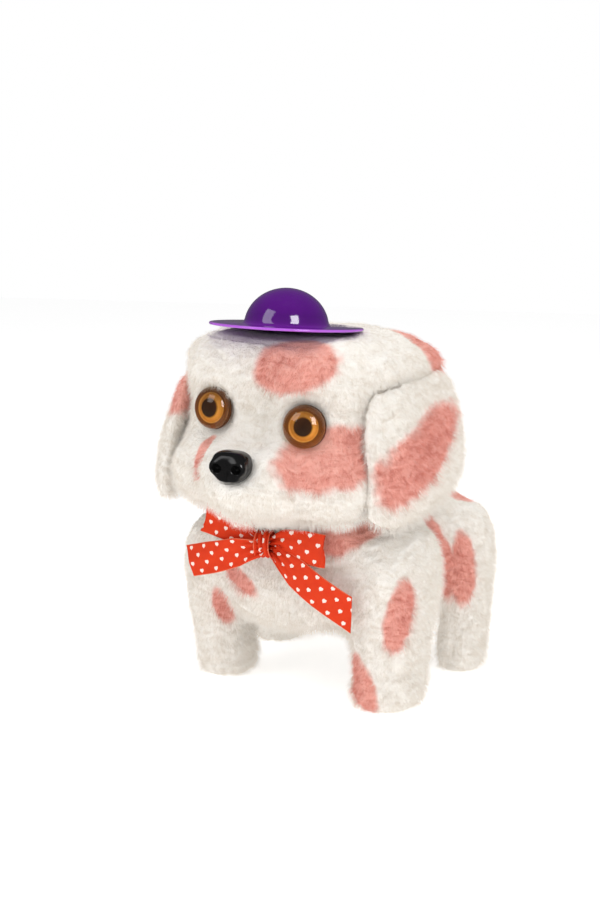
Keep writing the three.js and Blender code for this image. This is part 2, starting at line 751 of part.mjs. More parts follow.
const makeHead = () => {
  const cavity = loft("z", inset(HEAD, 10), 16);
  const sockets = [-1, 1].flatMap((side) => [
    facing(turned([[0, -2], [10.3, -2], [10.3, 14], [0, 14]]), eyePlace(side), eyeDirection(side)),
    facing(turned([[0, -16], [2.4, -16], [2.4, 0], [0, 0]]), eyePlace(side), eyeDirection(side)),
    rodZ(2, [157, 180], [side * HAT.peg, HAT.y]),
  ]);
  const noseSocket = join(
    rodY(2.4, [-110, -66], [0, NOSE.z]),
    ellipsoid([0, NOSE.y, NOSE.z], NOSE.half, 0.6),
  );
  const plush = cut(
    headShape(),
    cavity,
    rodZ(12, [80, 102], [0, NECK_Y]),
    ...sockets,
    noseSocket,
  );
  add(head, "head_plush", plush, MATERIAL.plush);

  // An open plastic cup inside the head, on a post that stands on the chassis.
  const frame = cut(
    join(
      cut(box([-24, 24], [-60, -22], [104, 142]), box([-22.4, 22.4], [-58.4, -23.6], [105.8, 143])),
      rodZ(7.5, [83, 105], [0, NECK_Y], 20),
    ),
    rodZ(4.5, [80, 107], [0, NECK_Y]),
  );
  add(head, "head_frame", frame, MATERIAL.chassis);
  add(
    head,
    "crown_stuffing",
    loft("z", [
      [157, 0, -42, 0, 0],
      [156.5, 0, -42, 17, 20],
      [151, 0, -41, 28, 24],
      [145, 0, -41, 28, 24],
      [144, 0, -41, 0, 0],
    ]),
    MATERIAL.plush,
  );
};

const makeEyes = () => {
  const radius = EYE.radius;
  for (const [name, side] of [
    ["left", 1],
    ["right", -1],
  ]) {
    const put = (geometry) => facing(geometry, eyePlace(side), eyeDirection(side));
    // Disc with a raised iris and pupil in front and a stem behind.
    const backing = turned([
      [0, -15],
      [1.9, -15],
      [1.9, -1.6],
      [radius, -1.6],
      [radius, 0],
      [5.6, 0],
      [5.6, 0.8],
      [3.9, 1.1],
      [3.9, 1.8],
      [0, 1.8],
    ]);
    add(head, `eye_${name}_backing`, put(backing), MATERIAL.iris);
    const lens = turned([
      [7.4, FIT],
      [radius - 0.2, FIT],
      ...arc(radius - 0.2, 6.4, 0.08, Math.PI / 2, 4),
      ...arc(7.4, 4.6, Math.PI / 2, 0.1, 4),
      [7.4, FIT],
    ]);
    add(head, `eye_${name}_lens`, put(lens), MATERIAL.amber);
  }
};

const makeNose = () => {
  const bulb = ellipsoid([0, 0, 0], NOSE.half);
  const nostrils = [-1, 1].map((side) =>
    ellipsoid([side * 4, -6.6, 0.6], [1.9, 2.4, 1.6], 0, 8),
  );
  const nose = join(
    cut(bulb, box([-12, 12], [3, 12], [-12, 12]), ...nostrils),
    rodY(1.9, [2, 35], [0, 0], 12),
  ).translate(0, NOSE.y, NOSE.z);
  add(head, "nose", nose, MATERIAL.nose);
};

const makeHat = () => {
  const { brim, dome, height, shell, peg } = HAT;
  const crown = turned(
    [
      ...arc(dome - shell, height - shell, Math.PI / 2, 0, 5),
      [brim, 0],
      [brim, shell],
      [dome + 0.5, shell],
      ...arc(dome, height, 0.09, Math.PI / 2, 5),
    ],
    24,
  );
  const pegs = [-1, 1].map((side) => rodZ(1.6, [-17, 0.5], [side * peg, 0], 12));
  const hat = join(crown, ...pegs).translate(0, HAT.y, HAT.z);
  add(head, "hat", hat, MATERIAL.hat);
};

// Push-on washers inside the head that hold the stems of the eyes and the nose, and a bar for the hat's pegs.
const makeWashers = () => {
  const ring = [
    [2.2, -13.8],
    [5, -13.8],
    [5, -12.6],
    [2.2, -12.6],
    [2.2, -13.8],
  ];
  const [left, right] = [1, -1].map((side) =>
    facing(turned(ring), eyePlace(side), eyeDirection(side)),
  );
  add(head, "eye_left_washer", left, MATERIAL.black);
  add(head, "eye_right_washer", right, MATERIAL.black);
  const nose = cut(
    rodY(5, [-71.8, -70.6], [0, NOSE.z], 20),
    rodY(2.2, [-74, -68], [0, NOSE.z]),
  );
  add(head, "nose_washer", nose, MATERIAL.black);
  const bar = cut(
    box([-HAT.peg - 4, HAT.peg + 4], [HAT.y - 4, HAT.y + 4], [158.4, 159.6]),
    ...[-1, 1].map((side) => rodZ(1.9, [157, 161], [side * HAT.peg, HAT.y])),
  );
  add(head, "hat_washer", bar, MATERIAL.black);
};

// An ear is a thick flap, sewn along its top edge and hanging down the side of the head.
const makeEars = () => {
  const outline = new THREE.Shape();
  outline.moveTo(4, 0);
  outline.lineTo(-58, 0);
  outline.bezierCurveTo(-68, -6, -66, -30, -66, -44);
  outline.bezierCurveTo(-66, -66, -44, -72, -30, -68);
  outline.bezierCurveTo(-8, -60, 8, -34, 8, -16);
  outline.bezierCurveTo(8, -8, 8, -3, 4, 0);
  for (const [name, side] of [
    ["left", 1],
    ["right", -1],
  ]) {
    const flap = new THREE.ExtrudeGeometry(outline, {
      depth: EAR_THICK - 4,
      bevelThickness: 2,
      bevelSize: 2,
      bevelOffset: -2,
      bevelSegments: 2,
      curveSegments: 6,
    }).translate(0, 0, 2 - EAR_THICK / 2);
    const mesh = add(head, `ear_${name}`, toGeometry(toSolid(alongX(flap))), MATERIAL.plush);
    mesh.position.set(side * EAR_HINGE.x, 0, EAR_HINGE.z);
    mesh.rotation.y = -side * 2 * DEG;
  }
};

// ---------------------------------------------------------------- bow
const makeBow = () => {
  const bow = new THREE.Group();
  bow.position.set(0, BOW.y, BOW.z);
  body.add(bow);
  const { ribbon, thick } = BOW;
  const half = ribbon / 2;
  // Drawn in XZ and raised towards the chest.
  const upright = (geometry) => geometry.rotateX(Math.PI / 2).translate(0, thick, 0);
  const knotHalf = 4;
  const knot = box([-knotHalf, knotHalf], [-5.6, 1.8], [2.5 - half, half - 2.5]);
  add(bow, "bow_knot", knot, MATERIAL.ribbon);

  // Each loop is a flattened oval of ribbon, seen from above, that starts at the knot.
  const start = knotHalf + 1.8;
  const loopLength = 24;
  const oval = (grow) =>
    Array.from({ length: 14 }, (_, i) => {
      const angle = (2 * Math.PI * i) / 14;
      const x = start + (loopLength / 2) * (1 + Math.cos(angle));
      return [x + grow * Math.cos(angle), -1 + (2 + grow) * Math.sin(angle)];
    });
  const makeLoop = (name, turn) => {
    const loop = plate(oval(thick), ribbon, [oval(0)]).translate(0, 0, -half);
    if (name === "right") loop.rotateZ(Math.PI).translate(0, -2, 0);
    add(bow, `bow_loop_${name}`, loop, MATERIAL.ribbon).rotation.y = turn;
  };
  makeLoop("left", 2 * DEG);
  makeLoop("right", 9 * DEG);

  const tail = (length, slant) =>
    upright(
      plate(
        [
          [start, -half],
          [length - slant, -half],
          [length + slant, half],
          [start, half],
        ],
        thick,
      ),
    );
  const left = add(bow, "bow_tail_left", tail(53, -6), MATERIAL.ribbon);
  left.rotation.set(0, 39 * DEG, 7 * DEG, "ZYX");
  left.position.set(1, 1.6, -4);
  const right = add(bow, "bow_tail_right", tail(41, 2), MATERIAL.ribbon);
  right.rotation.set(0, 169 * DEG, 0);
  right.position.set(0, -5.2, 0);
};

makeChassis();
makeGearTrain();
makeBatteries();
makeBatteryCover();
makeSwitch();
makeSound();
makeCranks();
makeDriveBar("left", 1);
makeDriveBar("right", -1);
Object.entries(LEGS).forEach(([name, leg]) => makeLeg(name, leg));
makeAxles();
makeTorso();
makeTail();
makeHead();
makeEyes();
makeNose();
makeHat();
makeWashers();
makeEars();
makeBow();

// The middle of the whole toy stands over the origin.
const middle = new THREE.Box3().setFromObject(toy, true).getCenter(new THREE.Vector3());
toy.position.set(-middle.x, -middle.y, 0);

export default toy;
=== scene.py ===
"""A battery-driven plush puppy with pink patches, amber eyes, a purple plastic hat and a red ribbon bow.

Shapes are worked out in the puppy's own millimetres: it faces -Y, +X is its left, and z = 0 is the floor.
"""

import json
import math
from contextlib import contextmanager
from itertools import product

import bmesh
import bpy
import numpy as np
from mathutils import Matrix, Vector


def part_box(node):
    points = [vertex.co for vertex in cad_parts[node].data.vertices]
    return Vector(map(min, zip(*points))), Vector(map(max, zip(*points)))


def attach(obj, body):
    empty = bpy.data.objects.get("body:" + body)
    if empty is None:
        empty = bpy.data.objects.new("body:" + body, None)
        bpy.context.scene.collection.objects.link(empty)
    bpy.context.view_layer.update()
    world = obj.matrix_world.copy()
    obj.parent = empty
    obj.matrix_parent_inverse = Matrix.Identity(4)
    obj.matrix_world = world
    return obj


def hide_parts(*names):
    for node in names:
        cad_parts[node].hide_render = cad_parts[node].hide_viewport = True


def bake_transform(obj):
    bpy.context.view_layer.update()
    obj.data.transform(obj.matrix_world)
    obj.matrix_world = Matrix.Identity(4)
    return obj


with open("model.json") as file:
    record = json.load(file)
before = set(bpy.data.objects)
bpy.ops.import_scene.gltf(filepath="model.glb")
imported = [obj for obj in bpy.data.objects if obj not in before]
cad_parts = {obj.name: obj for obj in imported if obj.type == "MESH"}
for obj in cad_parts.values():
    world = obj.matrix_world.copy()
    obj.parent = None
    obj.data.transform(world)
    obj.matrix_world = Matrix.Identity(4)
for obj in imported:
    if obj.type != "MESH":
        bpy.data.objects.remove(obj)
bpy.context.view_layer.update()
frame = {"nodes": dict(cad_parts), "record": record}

# ------------------------------------------------------------------ driving dimensions, in millimetres
MM = 0.001
HIP_Z = 58
FRONT_HIP_Y = -36
REAR_HIP_Y = 37
BAR_REST = 1.67  # how far the drive bars stand off their middle at rest
HEAD_PIVOT = np.array([0.0, -40.0, 100.0])
HEAD_ROLL = math.radians(3)
EAR_HINGE = np.array([56.5, 0.0, 151.0])
EYE_X, EYE_Y, EYE_Z, EYE_R = 23.4, -80.0, 135.5, 9.8
EYE_TURN, EYE_LIFT = math.radians(13), math.radians(4)
NOSE = np.array([0.0, -104.5, 116.0])
HAT = np.array([0.0, -52.0, 174.6])
HAT_SHIFT = np.array([-3.3, -1.7, -0.6])  # the hat has slid towards the right eye, and leans back a little
HAT_AXIS = (-0.018, 0.036, 1)
HAT_BRIM, HAT_DOME, HAT_HEIGHT = 35.6, 19.6, 18.0
BOW_Y, BOW_Z = -73.5, 75.5
RIBBON = 15.0
TAIL_Y, TAIL_Z = 52, 72
PILE = 5.0  # length of the fur
HAIRS_PER_MM2 = 1.8
FUR_DEPTH = 0.8  # the cloth under the fur lies this far inside the puppy's outline
CUT_RISE = 0.7  # how fast the cut between a leg and the body rises outwards
CAMERA = (368.7, -732.7, 225.0)
CAMERA_TURN, CAMERA_DIP, CAMERA_LENS = math.radians(28), math.radians(7.96), 67.2

# The puppy's own origin in the shared frame, found from the front axle.
axle_low, axle_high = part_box("front_axle")
axle = (axle_low + axle_high) / 2
ORIGIN = Vector((axle.x, axle.y - FRONT_HIP_Y * MM, 0))


def row(point):
    """A place in the puppy's millimetres, as a place in the shared frame."""
    return Vector(point) * MM + ORIGIN


def lean(points, back=False):
    """Places on the upright head, moved as the head leans, or back again."""
    angle = -HEAD_ROLL if back else HEAD_ROLL
    c, s = math.cos(angle), math.sin(angle)
    q = np.asarray(points, float) - HEAD_PIVOT
    turned = np.stack([q[..., 0] * c + q[..., 2] * s, q[..., 1], q[..., 2] * c - q[..., 0] * s], -1)
    return turned + HEAD_PIVOT


# ------------------------------------------------------------------ shapes as distance fields
def noise(points, size, seed=0):
    """Smooth random values from -1 to 1 that vary over that size."""
    scaled = points / np.asarray(size, float) + seed * 17.31
    cell = np.floor(scaled).astype(np.int64)
    share = scaled - cell
    share = share * share * (3 - 2 * share)
    total = np.zeros(len(points))
    for corner in product((0, 1), repeat=3):
        c = cell + corner
        mixed = (c[:, 0] * 73856093) ^ (c[:, 1] * 19349663) ^ (c[:, 2] * 83492791)
        mixed = ((mixed ^ (mixed >> 13)) * 1274126177) & 0xFFFFFF
        weight = np.prod(np.where(corner, share, 1 - share), axis=1)
        total += weight * (mixed / 0x7FFFFF - 1)
    return total


def merge(a, b, blend):
    """Two shapes as one, with a rounded fillet of about that size where they meet."""
    share = np.clip(0.5 + 0.5 * (b - a) / blend, 0, 1)
    return b + (a - b) * share - blend * share * (1 - share)


def carve(a, b, blend):
    """Shape a without shape b, with a rounded edge."""
    return -merge(-a, b, blend)


def smoothstep(value, start, end):
    share = np.clip((value - start) / (end - start), 0, 1)
    return share * share * (3 - 2 * share)


def lofted(at, u, v, table, squareness):
    """A body through cross-sections: rows of place, centre u, centre v, half u, half v."""
    rows = np.array(sorted(table), float)
    centre_u, centre_v, half_u, half_v = (np.interp(at, rows[:, 0], rows[:, i]) for i in range(1, 5))
    half_u, half_v = np.maximum(half_u, 0.5), np.maximum(half_v, 0.5)
    across = (np.abs(u - centre_u) / half_u) ** squareness
    along = (np.abs(v - centre_v) / half_v) ** squareness
    side = ((across + along) ** (1 / squareness) - 1) * np.minimum(half_u, half_v)
    beyond = np.maximum(rows[0, 0] - at, at - rows[-1, 0])
    return np.maximum(side, beyond)


def ellipsoid(p, centre, half):
    q = (p - np.array(centre, float)) / np.array(half, float)
    return (np.linalg.norm(q, axis=1) - 1) * min(half)


def rounded_box(p, low, high, radius):
    low, high = np.array(low, float), np.array(high, float)
    q = np.abs(p - (low + high) / 2) - (high - low) / 2 + radius
    outside = np.linalg.norm(np.maximum(q, 0), axis=1)
    return outside + np.minimum(q.max(axis=1), 0) - radius


TORSO = [
    # y, centre x, centre z, half width, half height
    (-67, 0, 66, 1, 1),
    (-66, 1, 66, 21, 17),
    (-60, 3, 64.5, 35.5, 29),
    (-48, 2.5, 65, 44, 34.5),
    (-25, 1.5, 66.5, 48.5, 35.5),
    (0, 0, 67.5, 51, 34.5),
    (25, 0, 67.5, 52, 33.5),
    (45, 0, 67, 49.5, 32),
    (60, 0, 66, 44, 29),
    (70, 0, 66, 35, 22),
    (76, 0, 66, 16, 10),
    (77, 0, 66, 1, 1),
]
HEAD = [
    # z, centre x, centre y, half width, half depth
    (85.8, 0, -38, 1, 1),
    (86, 0, -38, 21, 16),
    (89, 0, -38, 32, 27),
    (98, 0, -37, 43, 41),
    (112, 0, -36, 50, 47.5),
    (130, 0, -35, 51, 48.5),
    (148, 0, -34, 50, 49),
    (158, 0, -33, 50.5, 49.5),
    (165, 0, -33, 48.5, 47.5),
    (170.5, 0, -33, 43, 43),
    (173.4, 0, -33, 32, 33),
    (173.8, 0, -33, 1, 1),
]
LEG_OUTLINE = [
    # height, share of the half width, share of the half depth
    (-0.9, 0.70, 0.74),
    (1.0, 0.84, 0.86),
    (4.5, 0.96, 0.96),
    (10, 1.0, 1.0),
    (18, 0.99, 0.99),
    (30, 1.03, 1.05),
    (44, 1.1, 1.22),
    (58, 1.1, 1.32),
    (68, 0.98, 1.2),
    (76, 0.72, 0.95),
    (81, 0.3, 0.5),
]
LEGS = {
    # side, hip y, x, half width, half depth, lever
    "front_left": (1, FRONT_HIP_Y, 49, 16, 21.5, 12),
    "front_right": (-1, FRONT_HIP_Y, 46.5, 14, 15, 12),
    "rear_left": (1, REAR_HIP_Y, 54, 11.5, 14.5, 20),
    "rear_right": (-1, REAR_HIP_Y, 55, 12, 15, 20),
}


def leg_lean(side, lever):
    return -math.asin(side * BAR_REST / lever)


def leg_field(p, side, hip, x, half_x, half_y, lever):
    slope = math.tan(leg_lean(side, lever))
    rows = [
        (z, side * x, hip + (HIP_Z - z) * slope, half_x * wide, half_y * deep)
        for z, wide, deep in LEG_OUTLINE
    ]
    return lofted(p[:, 2], p[:, 0], p[:, 1], rows, 2.4)


def torso_field(p):
    return lofted(p[:, 1], p[:, 0], p[:, 2], TORSO, 2.5)


def body_field(p):
    shape = torso_field(p)
    for leg in LEGS.values():
        shape = merge(shape, leg_field(p, *leg), 14)
    # The opening for the battery cover.
    shape = carve(shape, rounded_box(p, (-21, -46, 10), (21, 43, 38.8), 2), 2)
    return shape + FUR_DEPTH


def head_field(p):
    q = lean(p, back=True)
    shape = lofted(q[:, 2], q[:, 0], q[:, 1], HEAD, 2.9)
    # The back of the head is squarer, and the crown overhangs the ears along both sides.
    back = rounded_box(q, (-50, -40, 96), (50, 23, 160), 20)
    shape = merge(shape, back, 12)
    for side in (-1, 1):
        ledge = rounded_box(q, (side * 43.5 - 9, -64, 150), (side * 43.5 + 9, 6, 166.5), 8)
        shape = merge(shape, ledge, 7)
    muzzle = ellipsoid(q, (0, -84, 109), (26, 23, 18.5))
    shape = merge(shape, muzzle, 14)
    chin = ellipsoid(q, (4, -63, 97.5), (27, 24, 9.5))
    shape = merge(shape, chin, 10)
    for side in (-1, 1):
        cheek = ellipsoid(q, (side * 31, -65, 107), (20, 21, 17.5))
        shape = merge(shape, cheek, 10)
        brow = ellipsoid(q, (side * 22, -70, 152), (17, 12, 10))
        shape = merge(shape, brow, 12)
        socket = ellipsoid(q, (side * (EYE_X + 1.5), EYE_Y - 9, EYE_Z + 0.5), (13, 13, 13))
        shape = carve(shape, socket, 3)
    # A shallow dent between the eyes, down to the nose.
    bridge = ellipsoid(q, (0, -95, 136), (9, 12, 14))
    shape = carve(shape, bridge, 8)
    nose_seat = ellipsoid(q, NOSE + (0, -1, 0), (8.4, 6, 6.4))
    return carve(shape, nose_seat, 3) + FUR_DEPTH


EAR_OUTLINE = [
    # y and z, clockwise from the front of the seam
    (-67, 146),
    (-50, 152),
    (-25, 154),
    (-4, 156),
    (8, 150),
    (14, 136),
    (15, 118),
    (10, 102),
    (-3, 96),
    (-21, 91),
    (-42, 88),
    (-60, 88.5),
    (-69, 96),
    (-71, 116),
]


def on_curve(a, b, c, d, t):
    """A place between b and c on a smooth curve through four points."""
    bend = 2 * a - 5 * b + 4 * c - d
    twist = 3 * b - a - 3 * c + d
    return 0.5 * (2 * b + (c - a) * t + bend * t**2 + twist * t**3)


def smooth_outline(corners, steps=5):
    """A closed smooth line through the corners."""
    corners, points = np.array(corners, float), []
    for i in range(len(corners)):
        four = [corners[(i + k) % len(corners)] for k in (-1, 0, 1, 2)]
        points += [on_curve(*four, t) for t in np.arange(steps) / steps]
    return np.array(points)


def inside_outline(points, outline):
    """How far inside a closed outline each point is, and less than zero outside."""
    best = np.full(len(points), 1e9)
    crossings = np.zeros(len(points), bool)
    for a, b in zip(outline, np.roll(outline, -1, axis=0)):
        edge = b - a
        offset = points - a
        share = np.clip(offset @ edge / (edge @ edge), 0, 1)
        best = np.minimum(best, np.linalg.norm(offset - share[:, None] * edge, axis=1))
        spans = (a[1] > points[:, 1]) != (b[1] > points[:, 1])
        level = a[0] + (points[:, 1] - a[1]) * edge[0] / (edge[1] or 1e-9)
        crossings ^= spans & (points[:, 0] < level)
    return np.where(crossings, best, -best)


def ear_tilt(side):
    """How far an ear stands away from the head. The right one hangs looser."""
    return math.radians(2 if side > 0 else 9)


def ear_field(p, side):
    """A puffed flap. Its middle plane stands off the head and it is thinner at the seam on top."""
    q = lean(p, back=True)
    tilt = ear_tilt(side)
    across = side * q[:, 0] - EAR_HINGE[0]
    down = q[:, 2] - EAR_HINGE[2]
    out = across * math.cos(tilt) + down * math.sin(tilt)
    height = down * math.cos(tilt) - across * math.sin(tilt) + EAR_HINGE[2]
    depth = inside_outline(np.stack([q[:, 1], height], 1), smooth_outline(EAR_OUTLINE))
    reach = np.clip(depth / 17, 0, 1)
    thick = 6.2 * np.sqrt(1 - (1 - reach) ** 2)
    thick *= 1 - 0.35 * smoothstep(height, 132, 153)
    # It hangs from under the crown, bows out over the cheek and wraps inwards at the front.
    bow_out = 3.0 * smoothstep(height, 150, 110)
    wrap = 7.5 * smoothstep(q[:, 1], -48, -78)
    middle = -3.5 + bow_out - 2.0 * smoothstep(height, 110, 84) - wrap
    face = np.abs(out - middle) - thick
    edge = np.hypot(np.minimum(depth, 0), np.maximum(np.abs(out - middle) - 0.4, 0)) - 0.4
    return np.where(depth > 0, face, np.maximum(edge, 0.05)) + FUR_DEPTH * 0.5


def tail_field(p):
    rows = [
        (63, 0, TAIL_Y + 36, 2, 2),
        (64, 0, TAIL_Y + 37, 5, 6),
        (70, 0, TAIL_Y + 37.5, 7.4, 8.4),
        (80, 0, TAIL_Y + 37.7, 7.8, 8.4),
        (92, 0, TAIL_Y + 39.5, 7.2, 7.6),
        (104, 0, TAIL_Y + 41.5, 5.6, 5.9),
        (109.5, 0, TAIL_Y + 42, 2, 2),
    ]
    stem = lofted(p[:, 2], p[:, 0], p[:, 1], rows, 2)
    root = ellipsoid(p, (0, TAIL_Y + 27, TAIL_Z), (7, 16, 7))
    return merge(stem, root, 8) + FUR_DEPTH * 0.5


# ------------------------------------------------------------------ from fields to meshes
def surface(field, low, high, cell):
    """The points and quads of the surface where a field is zero, from a regular grid of samples."""
    low = np.array(low, float)
    counts = np.ceil((np.array(high) - low) / cell).astype(int) + 1
    axes = [low[i] + cell * np.arange(counts[i]) for i in range(3)]
    grid = np.stack(np.meshgrid(*axes, indexing="ij"), -1).reshape(-1, 3)
    value = field(grid).reshape(counts)

    def at(corner, array):
        return array[tuple(slice(c, counts[i] - 1 + c) for i, c in enumerate(corner))]

    total, middle = 0, 0
    for corner in product((0, 1), repeat=3):
        for axis in range(3):
            if corner[axis]:
                continue
            other = tuple(c + (i == axis) for i, c in enumerate(corner))
            a, b = at(corner, value), at(other, value)
            crosses = (a < 0) != (b < 0)
            share = np.where(crosses, a / np.where(crosses, a - b, 1), 0)
            point = np.array(corner, float) + share[..., None] * np.eye(3)[axis]
            middle = middle + crosses[..., None] * point
            total = total + crosses
    used = total > 0
    number = np.full(used.shape, -1)
    number[used] = np.arange(used.sum())
    corner_index = np.stack(np.nonzero(used), 1)
    points = low + cell * (corner_index + middle[used] / total[used][:, None])

    quads = []
    for axis in range(3):
        b, c = (axis + 1) % 3, (axis + 2) % 3
        inner = [slice(1, counts[i] - 1) for i in range(3)]
        inner[axis] = slice(0, counts[axis] - 1)
        ahead = list(inner)
        ahead[axis] = slice(1, counts[axis])
        start, end = value[tuple(inner)] < 0, value[tuple(ahead)] < 0
        for first, mask in ((True, start & ~end), (False, ~start & end)):
            place = np.stack(np.nonzero(mask), 1) + [s.start for s in inner]
            around = []
            for db, dc in ((0, 0), (1, 0), (1, 1), (0, 1)):
                cell_at = place.copy()
                cell_at[:, b] -= db
                cell_at[:, c] -= dc
                around.append(number[tuple(cell_at.T)])
            if not first:
                around.reverse()
            quads.append(np.stack(around, 1))
    return onto(field, points), np.concatenate(quads)


def gradient(field, points, step=0.3):
    slopes = [field(points + step * e) - field(points - step * e) for e in np.eye(3)]
    return np.stack(slopes, 1) / (2 * step)


def onto(field, points):
    """Points moved onto the surface, a few careful steps each."""
    for _ in range(3):
        slope = gradient(field, points)
        size = np.maximum((slope**2).sum(1), 0.04)
        move = -(field(points) / size)[:, None] * slope
        length = np.linalg.norm(move, axis=1, keepdims=True)
        points = points + move * np.minimum(1, 0.6 / np.maximum(length, 1e-9))
    return points


def new_object(name, data):
    """A new object in the scene."""
    obj = bpy.data.objects.new(name, data)
    bpy.context.scene.collection.objects.link(obj)
    return obj


@contextmanager
def edited(mesh):
    """Opens a mesh for editing, and writes it back afterwards."""
    bm = bmesh.new()
    bm.from_mesh(mesh)
    yield bm
    bm.to_mesh(mesh)
    bm.free()


def grid_faces(rows, columns, closed=False):
    """The quads of a grid of points, which may close on itself."""
    faces = []
    for i in range(rows if closed else rows - 1):
        here, there = i * columns, (i + 1) % rows * columns
        faces += [(here + k, there + k, there + k + 1, here + k + 1) for k in range(columns - 1)]
    return faces


def mesh_object(name, points, faces):
    mesh = bpy.data.meshes.new(name)
    mesh.from_pydata([tuple(row(p)) for p in points], [], [tuple(int(i) for i in f) for f in faces])
    mesh.validate()
    mesh.shade_smooth()
    return new_object(name, mesh)


def apply_modifiers(obj):
    made = bpy.data.meshes.new_from_object(obj.evaluated_get(bpy.context.evaluated_depsgraph_get()))
    obj.modifiers.clear()
    old, obj.data = obj.data, made
    bpy.data.meshes.remove(old)
    made.name = obj.name
    made.shade_smooth()


def rounded(obj, smoothing, subdivide):
    """Relaxes the grid's steps out of a mesh and splits its faces finer."""
    relax = obj.modifiers.new("relax", "SMOOTH")
    relax.factor, relax.iterations = 0.5, smoothing
    if subdivide:
        finer = obj.modifiers.new("finer", "SUBSURF")
        finer.levels = finer.render_levels = subdivide
    apply_modifiers(obj)


def vertex_vectors(obj, kind):
    flat = np.empty(len(obj.data.vertices) * 3, np.float32)
    obj.data.vertices.foreach_get(kind, flat)
    return flat.reshape(-1, 3).astype(float)


def places(obj):
    """The vertices of an object in the puppy's millimetres."""
    return (vertex_vectors(obj, "co") - np.array(ORIGIN)) / MM


def move_to(obj, points):
    obj.data.vertices.foreach_set("co", (points * MM + np.array(ORIGIN)).astype(np.float32).ravel())
    obj.data.update()


# ------------------------------------------------------------------ pink patches
# Each patch is sprayed on: centre, direction of its long axis, half length and half width, in millimetres.
# Those on the head and the ears are given for the upright head.
HEAD_PATCHES = [
    ((16, -80, 160.5), (1, 0.15, 0.28), 20, 13.5),
    ((35, -76, 120), (0.61, 0.75, 0.2), 27, 15),
    ((-25, -88, 115), (0.1, 0.5, 1), 13, 3.6),
    ((43, -6, 169), (0.6, -0.1, -0.75), 20, 13),
    ((-20, 20, 150), (1, 0.2, 0.2), 16, 11),
    ((24, 24, 122), (0.3, 0, 1), 15, 9),
    ((-50, -20, 160), (0, 1, 0.2), 14, 8),
]
LEFT_EAR_PATCHES = [((60, -37, 121.5), (0, 0.92, 0.38), 41, 15.5)]
RIGHT_EAR_PATCHES = [
    ((-53, -66, 146), (0, 0.3, 1), 16, 13),
    ((-62, -18, 104), (0, 0.8, 0.5), 16, 9),
]
BODY_PATCHES = [
    ((34, -54, 84), (0.5, 0.75, 0.3), 23, 11),
    ((52, 6, 65), (0, 0.4, -0.91), 32, 8),
    ((58, 20.5, 53), (0, -0.1, 1), 20, 6.5),
    ((47, 42, 88), (0.3, 1, -0.3), 17, 8),
    ((60, -57, 45), (0.14, 0.14, 1), 17, 7.5),
    ((42, -62, 14), (0.5, -0.1, -0.9), 16, 7.5),
    ((-20, -66, 57), (0.83, -0.1, -0.55), 14, 5),
    ((-36, -52, 39), (0, 0.65, -0.75), 13, 6),
    ((-52, 6, 70), (0, 1, 0.4), 20, 9),
    ((-22, 66, 80), (1, 0.2, -0.3), 17, 9),
    ((10, 34, 99), (0.4, 1, 0), 18, 10),
    ((-58, -28, 26), (0, 0.2, 1), 12, 7),
    ((-66, 44, 36), (0, 0.3, 1), 14, 7),
]
TAIL_PATCHES = [((0, TAIL_Y + 48, 96), (0, 0.2, 1), 10, 9)]


def sprayed(points, patches):
    """How pink each place is, from 0 to 1, with a soft uneven edge."""
    most = np.zeros(len(points))
    uneven = 0.09 * noise(points, 9, 3) + 0.07 * noise(points, 2.6, 4)
    for centre, direction, half_length, half_width in patches:
        axis = np.array(direction, float)
        axis /= np.linalg.norm(axis)
        offset = points - np.array(centre, float)
        along = offset @ axis
        away = np.linalg.norm(offset - along[:, None] * axis, axis=1)
        reach = np.hypot(along / half_length, away / half_width)
        most = np.maximum(most, smoothstep(reach + uneven, 1.14, 0.86))
    return most


def paint(obj, pink):
    """Keeps the patches on the mesh, where the cloth and its fur both read them."""
    layer = obj.data.color_attributes.new("patches", "BYTE_COLOR", "CORNER")
    corner = np.empty(len(obj.data.loops), np.int32)
    obj.data.loops.foreach_get("vertex_index", corner)
    shade = pink[corner]
    colour = np.stack([shade, shade, shade, np.ones(len(shade))], 1)
    layer.data.foreach_set("color", colour.astype(np.float32).ravel())
    obj.data.color_attributes.active_color = layer


# ------------------------------------------------------------------ materials
def new_material(name):
    material = bpy.data.materials.new(name)
    material.use_nodes = True
    return material, material.node_tree


def feed(tree, socket, value):
    """Links an input to another node's output, or sets it to a plain value."""
    if isinstance(value, bpy.types.NodeSocket):
        tree.links.new(value, socket)
    else:
        socket.default_value = value


def node(tree, kind, inputs=None, **settings):
    made = tree.nodes.new(kind)
    for key, value in settings.items():
        setattr(made, key, value)
    for key, value in (inputs or {}).items():
        feed(tree, made.inputs[key], value)
    return made


def mix_colour(tree, factor, a, b):
    return node(tree, "ShaderNodeMix", {0: factor, 6: a, 7: b}, data_type="RGBA").outputs[2]


def maths(tree, operation, a, b=0.0, clamp=False):
    return node(tree, "ShaderNodeMath", {0: a, 1: b}, operation=operation, use_clamp=clamp).outputs[0]


def vector_maths(tree, operation, inputs):
    return node(tree, "ShaderNodeVectorMath", inputs, operation=operation).outputs[0]


def over_object(tree):
    """The place on the object, in its own metres."""
    return node(tree, "ShaderNodeTexCoord").outputs["Object"]


def clouds(tree, where, scale, detail):
    """Soft random values."""
    return node(tree, "ShaderNodeTexNoise", {"Vector": where, "Scale": scale, "Detail": detail}).outputs[0]


def from_axis(tree, where):
    """The distance of each place from the object's Z axis."""
    flat = vector_maths(tree, "MULTIPLY", {0: where, 1: (1, 1, 0)})
    return node(tree, "ShaderNodeVectorMath", {0: flat}, operation="LENGTH").outputs["Value"]


def rescaled(tree, value, start, end, low=0.0, high=1.0):
    """A value from start to end, as one from low to high."""
    limits = {"From Min": start, "From Max": end, "To Min": low, "To Max": high}
    return node(tree, "ShaderNodeMapRange", {"Value": value, **limits}).outputs[0]


